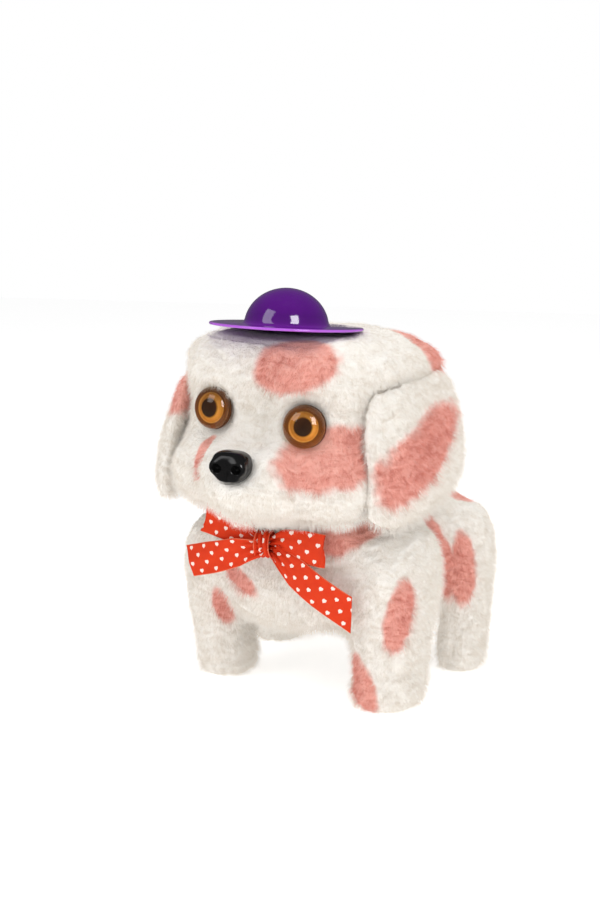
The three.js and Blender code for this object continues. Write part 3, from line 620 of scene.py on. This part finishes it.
def finished(material, colour, values, bump=None):
    """The material, once its shader has these. A bump is its height, strength and distance."""
    tree = material.node_tree
    shader = tree.nodes["Principled BSDF"]
    for key, value in {"Base Color": colour, **values}.items():
        feed(tree, shader.inputs[key], value)
    if bump:
        height, strength, distance = bump
        raised = node(tree, "ShaderNodeBump", {"Strength": strength, "Distance": distance, "Height": height})
        tree.links.new(raised.outputs[0], shader.inputs["Normal"])
    return material


# The darker cream and the darker pink are painted shade, for the roots of the hairs and the hollows between
# the tufts.
CREAM = (0.92, 0.885, 0.83, 1)
CREAM_SHADED = (0.80, 0.735, 0.655, 1)
PINK = (0.87, 0.425, 0.35, 1)
PINK_SHADED = (0.66, 0.22, 0.165, 1)


def stretched_clouds(tree, where, scale):
    return clouds(tree, vector_maths(tree, "MULTIPLY", {0: where, 1: scale}), 1.0, 3.0)


def plush_material(name, hair):
    """Short pile, with painted shade in the gaps between tufts and at the root of each hair."""
    material, tree = new_material(name)
    patch = node(tree, "ShaderNodeAttribute", attribute_name="patches").outputs["Color"]
    pink = node(tree, "ShaderNodeSeparateColor", {0: patch}).outputs[0]
    where = over_object(tree)
    # Rows of tufts lie across, and the fibres in them hang down and sweep to and fro.
    sweep = node(tree, "ShaderNodeTexNoise", {"Vector": where, "Scale": 75.0, "Detail": 1.0}).outputs["Color"]
    swept = vector_maths(tree, "SCALE", {0: sweep, "Scale": 0.012})
    bent = vector_maths(tree, "ADD", {0: where, 1: swept})
    rows = stretched_clouds(tree, bent, (150.0, 150.0, 520.0))
    bump = None
    if hair:
        info = node(tree, "ShaderNodeHairInfo")
        # Painted shade: each hair is darker towards its root and in the gaps between rows of tufts. Its tone
        # also varies at random.
        root = maths(tree, "SUBTRACT", 1.0, maths(tree, "MULTIPLY", info.outputs["Intercept"], 1.6), True)
        vary = maths(tree, "MULTIPLY", info.outputs["Random"], 0.4)
        own = maths(tree, "ADD", maths(tree, "MULTIPLY", root, 0.5), vary)
        gaps = maths(tree, "MULTIPLY", maths(tree, "SUBTRACT", 0.52, rows), 3.4)
        depth = maths(tree, "ADD", own, gaps, True)
    else:
        # Painted shade: the cloth is darker where its relief is low.
        fibres = stretched_clouds(tree, bent, (1500.0, 1500.0, 330.0))
        relief = maths(tree, "ADD", rows, maths(tree, "MULTIPLY", fibres, 0.75))
        depth = maths(tree, "MULTIPLY", maths(tree, "SUBTRACT", 0.95, relief), 1.8, True)
        bump = (relief, 0.9, 0.0008)
    pale = mix_colour(tree, depth, CREAM, CREAM_SHADED)
    rosy = mix_colour(tree, depth, PINK, PINK_SHADED)
    values = {"Roughness": 0.85, "Specular IOR Level": 0.2, "Sheen Weight": 0.25, "Sheen Roughness": 0.6}
    return finished(material, mix_colour(tree, pink, pale, rosy), values, bump)


plush_cloth = plush_material("plush_cloth", hair=False)
plush_hair = plush_material("plush_hair", hair=True)


# ------------------------------------------------------------------ plush pieces
def weight_pile(obj, length_share):
    """Sets how long the fur grows at each vertex, in steps of a tenth."""
    group = obj.vertex_groups.new(name="pile")
    steps = np.round(np.clip(length_share, 0, 1) * 10).astype(int)
    for level in range(11):
        chosen = np.nonzero(steps == level)[0]
        if len(chosen):
            group.add(chosen.tolist(), level / 10, "REPLACE")


def grow_pile(obj):
    """Short fur, combed downwards, that stands on the cloth."""
    area = sum(p.area for p in obj.data.polygons) / MM**2
    obj.data.materials.append(plush_hair)
    system = obj.modifiers.new("pile", "PARTICLE_SYSTEM").particle_system
    system.seed = 7
    pile = system.settings
    pile.type = "HAIR"
    pile.use_advanced_hair = True
    pile.count = int(area * HAIRS_PER_MM2)
    pile.hair_step = 2
    pile.render_step = pile.display_step = 2
    pile.emit_from = "FACE"
    # These speeds set both the length and the lie of the hairs, which grow for four seconds.
    speed = PILE * MM / 4
    pile.normal_factor = speed * 0.6
    pile.object_align_factor = (0, speed * 0.2, -speed * 0.6)
    pile.factor_random = speed * 0.35
    pile.material = 2
    pile.radius_scale = MM
    pile.root_radius = 0.12
    pile.tip_radius = 0.03
    pile.shape = 0.2
    system.vertex_group_length = "pile"


def add_relief(obj, depth, pressed):
    """Pushes rows of tufts out of the cloth, which is pressed in along its seams."""
    points, outward = places(obj), vertex_vectors(obj, "normal")
    warped = points + 1.4 * np.stack([noise(points, 6, s) for s in (11, 12, 13)], 1)
    rows = noise(warped, (5.5, 5.5, 2.0), 5)
    tufts = noise(points, 1.9, 6)
    lumps = noise(points, 16, 7)
    height = depth * (0.8 * rows + 0.7 * tufts) + 0.7 * lumps
    move_to(obj, points + (height - pressed)[:, None] * outward)


def detail(obj, patches, unlean=False, bald=None):
    """Splits the grid finer, sprays the patches on, and raises the tufts."""
    rounded(obj, 3, 1)
    own = places(obj)
    paint(obj, sprayed(lean(own, back=True) if unlean else own, patches))
    share = np.ones(len(own)) if bald is None else bald(own)
    add_relief(obj, 0.6 * share, 1.1 * (1 - share))
    weight_pile(obj, share * (0.78 + 0.32 * noise(own, (4.5, 4.5, 2.4), 9)))
    obj.data.materials.append(plush_cloth)


def declare(obj, body, node_names):
    """Hides the CAD nodes that a plush piece stands in for, sets it on a body if one is given, and grows its
    fur.
    """
    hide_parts(*node_names)
    if body:
        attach(obj, body)
    grow_pile(obj)


def seam_distance(points, a, b):
    """How far each point is from the line between two places."""
    a, b = np.array(a, float), np.array(b, float)
    edge = b - a
    share = np.clip((points - a) @ edge / (edge @ edge), 0, 1)
    return np.linalg.norm(points - a - share[:, None] * edge, axis=1)


def near_eyes_and_hat(points):
    """The fur is shorter round the eyes and the nose, and pressed flat under the brim."""
    q = lean(points, back=True)
    share = np.ones(len(q))
    for side in (-1, 1):
        eye = np.linalg.norm(q - (side * EYE_X, EYE_Y, EYE_Z), axis=1)
        share = np.minimum(share, 0.25 + 0.75 * smoothstep(eye, EYE_R, EYE_R + 7))
    nose = np.linalg.norm(q - NOSE, axis=1)
    share = np.minimum(share, 0.3 + 0.7 * smoothstep(nose, 8, 15))
    pressed = HAT + HAT_SHIFT - (3, 3, 0)  # off centre, so that the fur stands up behind the brim
    brim = np.hypot(q[:, 0] - pressed[0], q[:, 1] - pressed[1])
    under = (q[:, 2] > 168) * smoothstep(brim, HAT_BRIM + 1, HAT_BRIM - 3)
    return np.clip(np.minimum(share, 1 - 0.9 * under), 0, 1)


def near_leg_seams(points):
    """The fur parts at the seam down the front of each leg."""
    share = np.ones(len(points))
    for side, hip, x, _, half_y, lever in LEGS.values():
        slope = math.tan(leg_lean(side, lever))
        front = half_y - FUR_DEPTH
        top = (side * x, hip + 18 * slope - front, HIP_Z - 18)
        foot = (side * x, hip + HIP_Z * slope - front, 2)
        share = np.minimum(share, 0.35 + 0.65 * smoothstep(seam_distance(points, top, foot), 0.4, 2.2))
    return share


def make_head():
    points, faces = surface(head_field, (-66, -114, 76), (66, 32, 182), 1.8)
    head = mesh_object("head_skin", points, faces)
    detail(head, HEAD_PATCHES, True, near_eyes_and_hat)
    declare(head, "puppy", ["head_plush", "crown_stuffing"])


def leg_plane(side):
    """A plane that slants up and outwards, above the leg and below the rest of the body."""
    on_plane = np.array([side * 34.0, 0, 38])
    upward = np.array([-CUT_RISE * side, 0, 1.0])
    return on_plane, upward / np.linalg.norm(upward)


def cut_mesh(source, name, planes, keep_above):
    """A copy of a mesh on one side of each plane, closed where it was cut."""
    obj = source.copy()
    obj.data = source.data.copy()
    obj.name = obj.data.name = name
    bpy.context.scene.collection.objects.link(obj)
    with edited(obj.data) as bm:
        for on_plane, normal in planes:
            result = bmesh.ops.bisect_plane(
                bm,
                geom=bm.verts[:] + bm.edges[:] + bm.faces[:],
                plane_co=row(on_plane),
                plane_no=Vector(normal),
                clear_inner=keep_above,
                clear_outer=not keep_above,
            )
            edges = [e for e in result["geom_cut"] if isinstance(e, bmesh.types.BMEdge)]
            bmesh.ops.holes_fill(bm, edges=edges, sides=0)
    obj.data.shade_smooth()
    return obj


def keep_half(obj, front):
    """Keeps the part of a mesh in front of, or behind, the middle of the puppy."""
    with edited(obj.data) as bm:
        gone = [v for v in bm.verts if (v.co.y < ORIGIN.y) != front]
        bmesh.ops.delete(bm, geom=gone, context="VERTS")


def make_body_and_legs():
    points, faces = surface(body_field, (-74, -74, -3), (74, 84, 106), 1.8)
    whole = mesh_object("whole", points, faces)
    detail(whole, BODY_PATCHES, bald=near_leg_seams)
    standing = places(whole)
    standing[:, 2] = np.maximum(standing[:, 2], 0)
    move_to(whole, standing)
    body = cut_mesh(whole, "body_skin", [leg_plane(1), leg_plane(-1)], keep_above=True)
    declare(body, "puppy", ["body_plush"])
    for name, (side, hip, *_) in LEGS.items():
        on_plane, normal = leg_plane(side)
        leg = cut_mesh(whole, f"leg_skin_{name}", [(on_plane, normal)], keep_above=False)
        keep_half(leg, hip < 0)
        declare(leg, None, [f"leg_plush_{name}"])
        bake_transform(leg)
    bpy.data.objects.remove(whole)


def make_ears():
    for name, side, patches in (("left", 1, LEFT_EAR_PATCHES), ("right", -1, RIGHT_EAR_PATCHES)):
        low, high = sorted((side * 36, side * 84))
        points, faces = surface(lambda p: ear_field(p, side), (low, -82, 70), (high, 24, 168), 1.5)
        ear = mesh_object(f"ear_skin_{name}", points, faces)
        detail(ear, patches, True)
        declare(ear, None, [f"ear_{name}"])
        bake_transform(ear)


def make_tail():
    points, faces = surface(tail_field, (-14, TAIL_Y + 8, 56), (14, TAIL_Y + 56, 116), 1.4)
    tail = mesh_object("tail_skin", points, faces)
    detail(tail, TAIL_PATCHES)
    declare(tail, None, ["tail_plush"])
    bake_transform(tail)


# ------------------------------------------------------------------ hat, eyes and nose
ON_AXIS = 0.001  # the radius at which a turned profile starts and ends


def turned(name, profile, sides=96):
    """A turned piece from (radius, height) points that start and end on the Z axis, in millimetres."""
    points = []
    for i in range(sides):
        angle = 2 * math.pi * i / sides
        for radius, height in profile:
            points.append((radius * math.cos(angle) * MM, radius * math.sin(angle) * MM, height * MM))
    mesh = bpy.data.meshes.new(name)
    mesh.from_pydata(points, [], grid_faces(sides, len(profile), closed=True))
    with edited(mesh) as bm:
        bmesh.ops.remove_doubles(bm, verts=bm.verts, dist=1e-6)
        bmesh.ops.recalc_face_normals(bm, faces=bm.faces)
    mesh.shade_smooth()
    return new_object(name, mesh)


def arc(radius, height, start, end, steps):
    angles = np.linspace(math.radians(start), math.radians(end), steps)
    return [(radius * math.cos(a), height * math.sin(a)) for a in angles]


def seat(piece, node_name, material):
    """Puts a piece without fur in place of its CAD node, on the puppy's body."""
    piece.data.materials.append(material)
    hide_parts(node_name)
    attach(piece, "puppy")


def head_place(point, direction):
    """The matrix that stands a turned piece at a place on the leaning head, its axis along a direction."""
    lean_matrix = Matrix.Rotation(HEAD_ROLL, 4, "Y")
    turn = Vector(direction).to_track_quat("Z", "Y").to_matrix().to_4x4()
    return Matrix.Translation(row(lean(point))) @ lean_matrix @ turn


def hat_material():
    """Glossy purple plastic, lighter on the brim and pale along its thin edge."""
    material, tree = new_material("hat_plastic")
    where = over_object(tree)
    height = node(tree, "ShaderNodeSeparateXYZ", {0: where}).outputs[2]
    on_edge = rescaled(tree, from_axis(tree, where), (HAT_BRIM - 2.2) * MM, HAT_BRIM * MM)
    flow = clouds(tree, where, 60.0, 3.0)
    base = mix_colour(tree, flow, (0.070, 0.002, 0.165, 1), (0.095, 0.003, 0.205, 1))
    low = rescaled(tree, height, 0.006, 0.0, high=0.35)
    base = mix_colour(tree, low, base, (0.24, 0.02, 0.46, 1))
    colour = mix_colour(tree, on_edge, base, (0.48, 0.13, 0.72, 1))
    values = {"Roughness": 0.09, "Coat Weight": 0.4, "Coat Roughness": 0.04}
    return finished(material, colour, values, (clouds(tree, where, 45.0, 2.0), 0.05, 0.0008))


def make_hat():
    wall = 1.2
    brim_edge = arc(wall / 2, wall / 2, -90, 90, 9)
    profile = (
        [(ON_AXIS, HAT_HEIGHT - wall)]
        + arc(HAT_DOME - wall, HAT_HEIGHT - wall, 88, 2, 24)
        + [(HAT_DOME - 0.6, -0.1)]
        + [(HAT_BRIM - wall / 2 + r, wall / 2 + h - 0.1) for r, h in brim_edge]
        + [(HAT_DOME + 1.4, 1.15), (HAT_DOME + 0.5, 1.45), (HAT_DOME + 0.05, 2.2)]
        + arc(HAT_DOME, HAT_HEIGHT, 10, 89, 30)
        + [(ON_AXIS, HAT_HEIGHT)]
    )
    hat = turned("hat_shell", profile, 128)
    hat.matrix_world = head_place(HAT + HAT_SHIFT, HAT_AXIS)
    seat(hat, "hat", hat_material())


def amber_material():
    """The clear dome over an eye."""
    material, tree = new_material("amber_lens")
    rough = rescaled(tree, clouds(tree, over_object(tree), 300.0, 2.0), 0.0, 1.0, 0.005, 0.02)
    values = {"Roughness": rough, "Transmission Weight": 1.0, "IOR": 1.49}
    return finished(material, (1.0, 0.80, 0.50, 1), values)


IRIS_BANDS = [
    # share of the eye's radius, colour
    (0.0, (0.020, 0.007, 0.005, 1)),
    (0.33, (0.020, 0.007, 0.005, 1)),
    (0.35, (0.004, 0.002, 0.001, 1)),
    (0.38, (0.40, 0.17, 0.03, 1)),
    (0.42, (1.0, 0.52, 0.12, 1)),
    (0.52, (0.85, 0.38, 0.07, 1)),
    (0.57, (0.95, 0.50, 0.13, 1)),
    (0.61, (0.22, 0.072, 0.010, 1)),
    (0.76, (0.30, 0.105, 0.016, 1)),
    (0.88, (0.50, 0.20, 0.045, 1)),
    (1.0, (0.10, 0.030, 0.006, 1)),
]


def iris_material():
    """Painted back of the eye: a dark pupil, a gold ring and a brown rim."""
    material, tree = new_material("iris_paint")
    where = over_object(tree)
    share = maths(tree, "DIVIDE", from_axis(tree, where), EYE_R * MM)
    bands = node(tree, "ShaderNodeValToRGB", {0: share})
    ramp = bands.color_ramp
    for element, (position, colour) in zip(ramp.elements, (IRIS_BANDS[0], IRIS_BANDS[-1])):
        element.position, element.color = position, colour
    for position, colour in IRIS_BANDS[1:-1]:
        ramp.elements.new(position).color = colour
    # The paint is grainy, and painted shade darkens it towards the top of the eye.
    grain = clouds(tree, where, 900.0, 2.0)
    height = node(tree, "ShaderNodeSeparateXYZ", {0: where}).outputs[1]
    above = rescaled(tree, height, -0.3 * EYE_R * MM, EYE_R * MM)
    shadow = maths(tree, "MULTIPLY", above, 0.75)
    darker = maths(tree, "ADD", maths(tree, "MULTIPLY", grain, 0.25), shadow, True)
    colour = mix_colour(tree, darker, bands.outputs[0], (0.07, 0.026, 0.006, 1))
    return finished(material, colour, {"Roughness": 0.3, "Specular IOR Level": 0.15})


def make_eyes():
    amber, iris = amber_material(), iris_material()
    lens_r = EYE_R - 0.1
    for name, side in (("left", 1), ("right", -1)):
        turn, level = side * EYE_TURN, math.cos(EYE_LIFT)
        direction = Vector((math.sin(turn) * level, -math.cos(turn) * level, math.sin(EYE_LIFT)))
        # The left eye sits a little lower than the right one.
        matrix = head_place((side * EYE_X - 1.2, EYE_Y, EYE_Z - 0.3 - 1.8 * side), direction)
        stalk = [(ON_AXIS, -13), (1.9, -13), (1.9, -1.6)]
        rim = [(EYE_R - 0.4, -1.6), (EYE_R, -1.2), (EYE_R, 0.2), (EYE_R - 0.5, 0.6)]
        ring = [(8.4, 0.5), (7.9, 0.1), (7.2, 0.9), (5.4, 0.2), (4.5, 0.0)]
        pupil = [(4.1, 1.4), (3.6, 1.7), (ON_AXIS, 1.7)]
        cup = turned(f"eye_{name}_iris", stalk + rim + ring + pupil)
        # The clear dome is moulded onto the painted back, which reaches a little into it.
        base = [(ON_AXIS, -0.6), (lens_r - 0.6, -0.6), (lens_r, 0.3)]
        dome = [(r, 0.9 + h) for r, h in arc(lens_r, 6.3, 4, 89, 28)]
        lens = turned(f"eye_{name}_dome", base + dome + [(ON_AXIS, 7.2)])
        cup.matrix_world = lens.matrix_world = matrix
        seat(cup, f"eye_{name}_backing", iris)
        seat(lens, f"eye_{name}_lens", amber)


def nose_material():
    """Black plastic."""
    material, tree = new_material("nose_plastic")
    drift = clouds(tree, over_object(tree), 120.0, 4.0)
    colour = mix_colour(tree, drift, (0.003, 0.003, 0.0035, 1), (0.008, 0.0075, 0.0075, 1))
    values = {"Roughness": rescaled(tree, drift, 0.0, 1.0, 0.12, 0.24), "Specular IOR Level": 0.35}
    return finished(material, colour, values, (drift, 0.12, 0.0005))


def nose_field(p):
    """A rounded button, wide on top, with two nostrils and a groove below them."""
    c, s = math.cos(math.radians(8)), math.sin(math.radians(8))
    q = (p - NOSE) @ np.array([[c, -s, 0], [s, c, 0], [0, 0, 1]])
    narrow = 1 - 0.2 * smoothstep(q[:, 2], 0, -7)
    half = np.stack([8.8 * narrow, np.full(len(q), 6.6), np.full(len(q), 7.2)], 1)
    shape = ((np.abs(q / half) ** 3).sum(1) ** (1 / 3) - 1) * 6.6
    for side in (-1, 1):
        rim = ellipsoid(q, (side * 4.8, -5.4, 0.2), (3.6, 2.3, 3.4))
        shape = merge(shape, rim, 1.5)
        shape = carve(shape, ellipsoid(q, (side * 4.6, -7.6, -0.3), (2.3, 4.0, 2.1)), 0.8)
    groove = ellipsoid(q, (0, -8.2, -4.2), (0.8, 3.0, 3.4))
    return carve(shape, groove, 1.2)


def make_nose():
    low, high = NOSE - (12, 10, 9), NOSE + (12, 9, 9)
    points, faces = surface(nose_field, low, high, 0.45)
    nose = mesh_object("nose_button", lean(points), faces)
    rounded(nose, 2, 0)
    seat(nose, "nose", nose_material())


# ------------------------------------------------------------------ bow
def ribbon_material():
    """Red ribbon with a fine weave and small pale hearts in staggered rows."""
    material, tree = new_material("ribbon_cloth")
    flat = node(tree, "ShaderNodeUVMap", uv_map="flat").outputs[0]  # u along and v across, in millimetres
    axes = node(tree, "ShaderNodeSeparateXYZ", {0: flat})
    u, v = axes.outputs[0], axes.outputs[1]
    step_u, step_v, heart_size, thread = 8.6, 3.75, 0.85, 0.42
    row_number = maths(tree, "FLOOR", maths(tree, "DIVIDE", v, step_v))
    stagger = maths(tree, "MULTIPLY", maths(tree, "MODULO", row_number, 2.0), step_u / 2)
    x = maths(tree, "PINGPONG", maths(tree, "ADD", u, stagger), step_u / 2)
    y = maths(tree, "SUBTRACT", maths(tree, "MODULO", v, step_v), step_v / 2)
    x = maths(tree, "DIVIDE", x, heart_size)
    y = maths(tree, "DIVIDE", y, heart_size)
    # A heart: (x^2 + y^2 - 1)^3 = x^2 y^3
    xx = maths(tree, "MULTIPLY", x, x)
    yy = maths(tree, "MULTIPLY", y, y)
    ball = maths(tree, "SUBTRACT", maths(tree, "ADD", xx, yy), 1.0)
    cube = maths(tree, "MULTIPLY", maths(tree, "MULTIPLY", ball, ball), ball)
    lobe = maths(tree, "MULTIPLY", xx, maths(tree, "MULTIPLY", yy, y))
    heart = maths(tree, "LESS_THAN", maths(tree, "SUBTRACT", cube, lobe), 0.02)
    weave = [maths(tree, "SINE", maths(tree, "MULTIPLY", axis, 2 * math.pi / thread)) for axis in (u, v)]
    threads = maths(tree, "MULTIPLY", *weave)
    drift = clouds(tree, flat, 0.25, 3.0)
    red = mix_colour(tree, drift, (0.68, 0.030, 0.004, 1), (0.78, 0.055, 0.007, 1))
    shade = maths(tree, "MULTIPLY", maths(tree, "ADD", threads, 1.0), 0.09)
    red = mix_colour(tree, shade, red, (0.45, 0.015, 0.004, 1))
    pale = mix_colour(tree, shade, (0.96, 0.80, 0.72, 1), (0.85, 0.45, 0.35, 1))
    from_middle = maths(tree, "ABSOLUTE", maths(tree, "SUBTRACT", v, RIBBON / 2))
    selvedge = maths(tree, "GREATER_THAN", from_middle, RIBBON / 2 - 0.25)
    base = mix_colour(tree, heart, red, pale)
    base = mix_colour(tree, maths(tree, "MULTIPLY", selvedge, 0.45), base, (0.98, 0.35, 0.2, 1))
    values = {"Roughness": 0.7, "Specular IOR Level": 0.2}
    return finished(material, base, values, (threads, 0.35, 0.00008))


def spline(points, count):
    """Evenly spread points on a smooth open curve through the given ones."""
    given = np.array(points, float)
    padded = np.concatenate([[2 * given[0] - given[1]], given, [2 * given[-1] - given[-2]]])
    fine = []
    for i in range(1, len(padded) - 2):
        fine += [on_curve(*padded[i - 1 : i + 3], t) for t in np.linspace(0, 1, 24, endpoint=False)]
    fine = np.array(fine + [given[-1]])
    travelled = np.concatenate([[0], np.cumsum(np.linalg.norm(np.diff(fine, axis=0), axis=1))])
    wanted = np.linspace(0, travelled[-1], count)
    return np.stack([np.interp(wanted, travelled, fine[:, k]) for k in range(3)], 1), travelled[-1]


def ribbon(name, middle, across, pinch, end_cut=0.0, along=64, offset=0.0):
    """A ribbon along a middle line. across gives its width direction at a few places along the way.

    pinch is the share of its width left at a few places, where it is gathered and the slack goes into folds.
    end_cut is how far the cut end slants, and offset shifts the printed pattern along the ribbon.
    """
    wide = 18  # faces across the ribbon
    line, length = spline(middle, along)
    share = np.linspace(0, 1, along)
    stops = np.linspace(0, 1, len(across))
    sideways = np.stack([np.interp(share, stops, np.array(across, float)[:, k]) for k in range(3)], 1)
    sideways /= np.linalg.norm(sideways, axis=1, keepdims=True)
    ahead = np.gradient(line, axis=0)
    ahead /= np.linalg.norm(ahead, axis=1, keepdims=True)
    sideways -= (sideways * ahead).sum(1, keepdims=True) * ahead
    sideways /= np.linalg.norm(sideways, axis=1, keepdims=True)
    face = np.cross(ahead, sideways)
    left = np.interp(share, np.linspace(0, 1, len(pinch)), pinch)
    points, flat = [], []
    for i in range(along):
        for j in range(wide + 1):
            s = j / wide - 0.5
            fold = (1 - left[i]) * 1.9 * math.sin(s * 3 * 2 * math.pi + i * 0.05)
            curl = 0.5 * math.sin(s * math.pi * 2 + share[i] * 5) * left[i]
            slant = end_cut * s * smoothstep(share[i], 0.7, 1.0)
            side_step = sideways[i] * s * RIBBON * left[i]
            points.append(line[i] + side_step + face[i] * (fold + curl) + ahead[i] * slant)
            flat.append((offset + share[i] * length + slant, (s + 0.5) * RIBBON))
    obj = mesh_object(name, points, grid_faces(along, wide + 1))
    layer = obj.data.uv_layers.new(name="flat")
    for loop in obj.data.loops:
        layer.data[loop.index].uv = flat[loop.vertex_index]
    thicken = obj.modifiers.new("cloth", "SOLIDIFY")
    thicken.thickness = 0.35 * MM
    thicken.offset = 0
    apply_modifiers(obj)
    return obj, length


BOW_PIECES = {
    # middle line from the knot, width directions, share of the width left along it, slant of the cut end
    "bow_loop_left": (
        [(2, 1, 0), (12, -1, 2), (23, -1.5, 1), (29.5, 1, -0.5), (23, 4, -1), (12, 3, 0), (2, 1.6, 0)],
        [(0.1, 0, 1), (0.05, -0.1, 1), (-0.1, 0, 1), (-0.15, 0, 1), (-0.1, 0, 1), (0, 0, 1), (0.1, 0, 1)],
        [0.4, 0.85, 1, 1, 1, 0.85, 0.4],
        0,
    ),
    "bow_loop_right": (
        [(-2, 1, 0), (-12, -1, 5), (-23, -2, 9), (-31, -1, 11), (-24, 3, 9), (-12, 3, 5), (-2, 1.6, 0)],
        [(0.1, 0, 1), (0.3, -0.1, 1), (0.3, -0.2, 1), (0.35, -0.1, 1), (0.3, 0, 1), (0.3, 0, 1), (0.1, 0, 1)],
        [0.4, 0.8, 1, 1, 1, 0.8, 0.4],
        0,
    ),
    "bow_tail_left": (
        [(4, 0.5, -2), (12, -1.2, -8), (26, -1.6, -17.5), (42, 4.6, -29)],
        [(0.5, 0, 0.8), (0.62, -0.05, 0.75), (0.62, 0, 0.75), (0.62, 0.1, 0.75)],
        [0.45, 0.95, 1, 1],
        -9,
    ),
    "bow_tail_right": (
        [(1, -2.2, -1), (-10, -3.6, -3), (-24, -3.4, -7), (-40, -0.8, -11)],
        [(0, 0, 1), (-0.1, -0.1, 1), (-0.1, 0, 1), (-0.12, 0.1, 1)],
        [0.4, 0.9, 1, 1],
        2,
    ),
}


def make_bow():
    material = ribbon_material()
    for offset, (name, (line, across, pinch, end_cut)) in enumerate(BOW_PIECES.items()):
        middle = np.array(line, float) + (0, BOW_Y, BOW_Z)
        piece, length = ribbon(f"{name}_cloth", middle, across, pinch, end_cut, offset=offset * 2.3)
        seat(piece, name, material)
    # The knot is a short band of the same ribbon, gathered and wrapped round the middle.
    ring = [
        (0.3 * math.cos(a), BOW_Y + 0.4 - 3.9 * math.cos(a), BOW_Z + 0.5 + 5.6 * math.sin(a))
        for a in np.linspace(-math.pi, math.pi, 15)
    ]
    knot, length = ribbon("bow_knot_cloth", ring, [(1, 0, 0.05)] * 4, [0.52] * 3, along=72)
    seat(knot, "bow_knot", material)


# ------------------------------------------------------------------ the mechanism's materials
def plain_finish(name, colour, roughness, metallic=0.0, grain=200.0):
    """Moulded plastic or metal with a fine uneven grain."""
    material, tree = new_material(name)
    spots = clouds(tree, over_object(tree), grain, 4.0)
    darker = tuple(c * 0.78 for c in colour) + (1,)
    rough = rescaled(tree, spots, 0.0, 1.0, roughness * 0.8, min(roughness * 1.25, 1))
    mixed = mix_colour(tree, spots, colour + (1,), darker)
    return finished(material, mixed, {"Roughness": rough, "Metallic": metallic}, (spots, 0.15, 0.0002))


def dress_mechanism():
    finishes = {
        "chassis": plain_finish("chassis_plastic", (0.72, 0.70, 0.66), 0.5),
        "lever": plain_finish("lever_plastic", (0.62, 0.60, 0.56), 0.5),
        "gear": plain_finish("gear_plastic", (0.85, 0.83, 0.76), 0.4),
        "steel": plain_finish("bright_steel", (0.60, 0.61, 0.63), 0.28, 1.0, 500.0),
        "cell": plain_finish("cell_jacket", (0.06, 0.25, 0.11), 0.35, 0.3),
        "board": plain_finish("board_laminate", (0.03, 0.22, 0.09), 0.45, 0.0, 600.0),
        "black": plain_finish("black_plastic", (0.03, 0.03, 0.032), 0.5),
        "wire": plain_finish("wire_jacket", (0.55, 0.04, 0.03), 0.45),
    }
    for part in frame["record"]["subparts"]:
        finish = finishes.get(part["material_slot"])
        if finish:
            obj = frame["nodes"][part["node"]]
            obj.data.materials.clear()
            obj.data.materials.append(finish)


# ------------------------------------------------------------------ floor, lights and camera
def make_floor():
    """White paper that lights itself a little, so that only the puppy's shadow shows on it."""
    size = 3.0
    corners = [(-size, -size, 0), (size, -size, 0), (size, size, 0), (-size, size, 0)]
    mesh = bpy.data.meshes.new("floor")
    mesh.from_pydata(corners, [], [(0, 1, 2, 3)])
    floor = new_object("floor", mesh)
    material, tree = new_material("floor_paper")
    speckle = clouds(tree, over_object(tree), 30.0, 2.0)
    colour = mix_colour(tree, speckle, (0.93, 0.93, 0.93, 1), (0.95, 0.95, 0.95, 1))
    glow = {"Emission Color": (1, 1, 1, 1), "Emission Strength": 0.52}
    mesh.materials.append(finished(material, colour, {"Roughness": 0.9, "Specular IOR Level": 0.1, **glow}))
    floor.visible_glossy = False


def soft_light(name, place, width, height, power):
    """A rectangular light that faces the puppy."""
    lamp = bpy.data.lights.new(name, "AREA")
    lamp.shape = "RECTANGLE"
    lamp.size, lamp.size_y = width, height
    lamp.energy = power
    obj = new_object(name, lamp)
    obj.location = place
    towards = Vector((0, 0, 0.1)) - Vector(place)
    obj.rotation_euler = towards.to_track_quat("-Z", "Y").to_euler()
    return obj


def make_studio():
    world = bpy.data.worlds.new("studio")
    world.use_nodes = True
    background = world.node_tree.nodes["Background"]
    background.inputs["Color"].default_value = (1, 1, 1, 1)
    tree = world.node_tree
    seen = node(tree, "ShaderNodeLightPath")
    dim = maths(tree, "SUBTRACT", 0.50, maths(tree, "MULTIPLY", seen.outputs["Is Glossy Ray"], 0.36))
    lit = maths(tree, "ADD", dim, maths(tree, "MULTIPLY", seen.outputs["Is Camera Ray"], 0.6), True)
    tree.links.new(lit, background.inputs["Strength"])
    bpy.context.scene.world = world
    soft_light("key", (-0.50, -0.90, 0.86), 0.55, 0.70, 3.4)
    soft_light("fill", (1.05, -0.66, 0.74), 0.55, 0.70, 4.0).visible_glossy = False
    # A bright window that shows only in the eyes, the nose and the hat.
    soft_light("window", (0.98, -0.76, 0.72), 0.46, 0.72, 12).visible_diffuse = False
    soft_light("top", (0.1, 0.1, 1.2), 0.9, 0.9, 6).visible_glossy = False
    bpy.context.scene.view_settings.view_transform = "Standard"


def make_camera():
    data = bpy.data.cameras.new("camera")
    data.sensor_width = 36
    data.lens = CAMERA_LENS
    data.clip_start = 0.01
    camera = new_object("camera", data)
    camera.location = row(CAMERA)
    camera.rotation_euler = (math.pi / 2 - CAMERA_DIP, 0, CAMERA_TURN)
    bpy.context.scene.camera = camera


make_camera()
make_studio()
make_floor()
dress_mechanism()
make_head()
make_body_and_legs()
make_ears()
make_tail()
make_hat()
make_eyes()
make_nose()
make_bow()
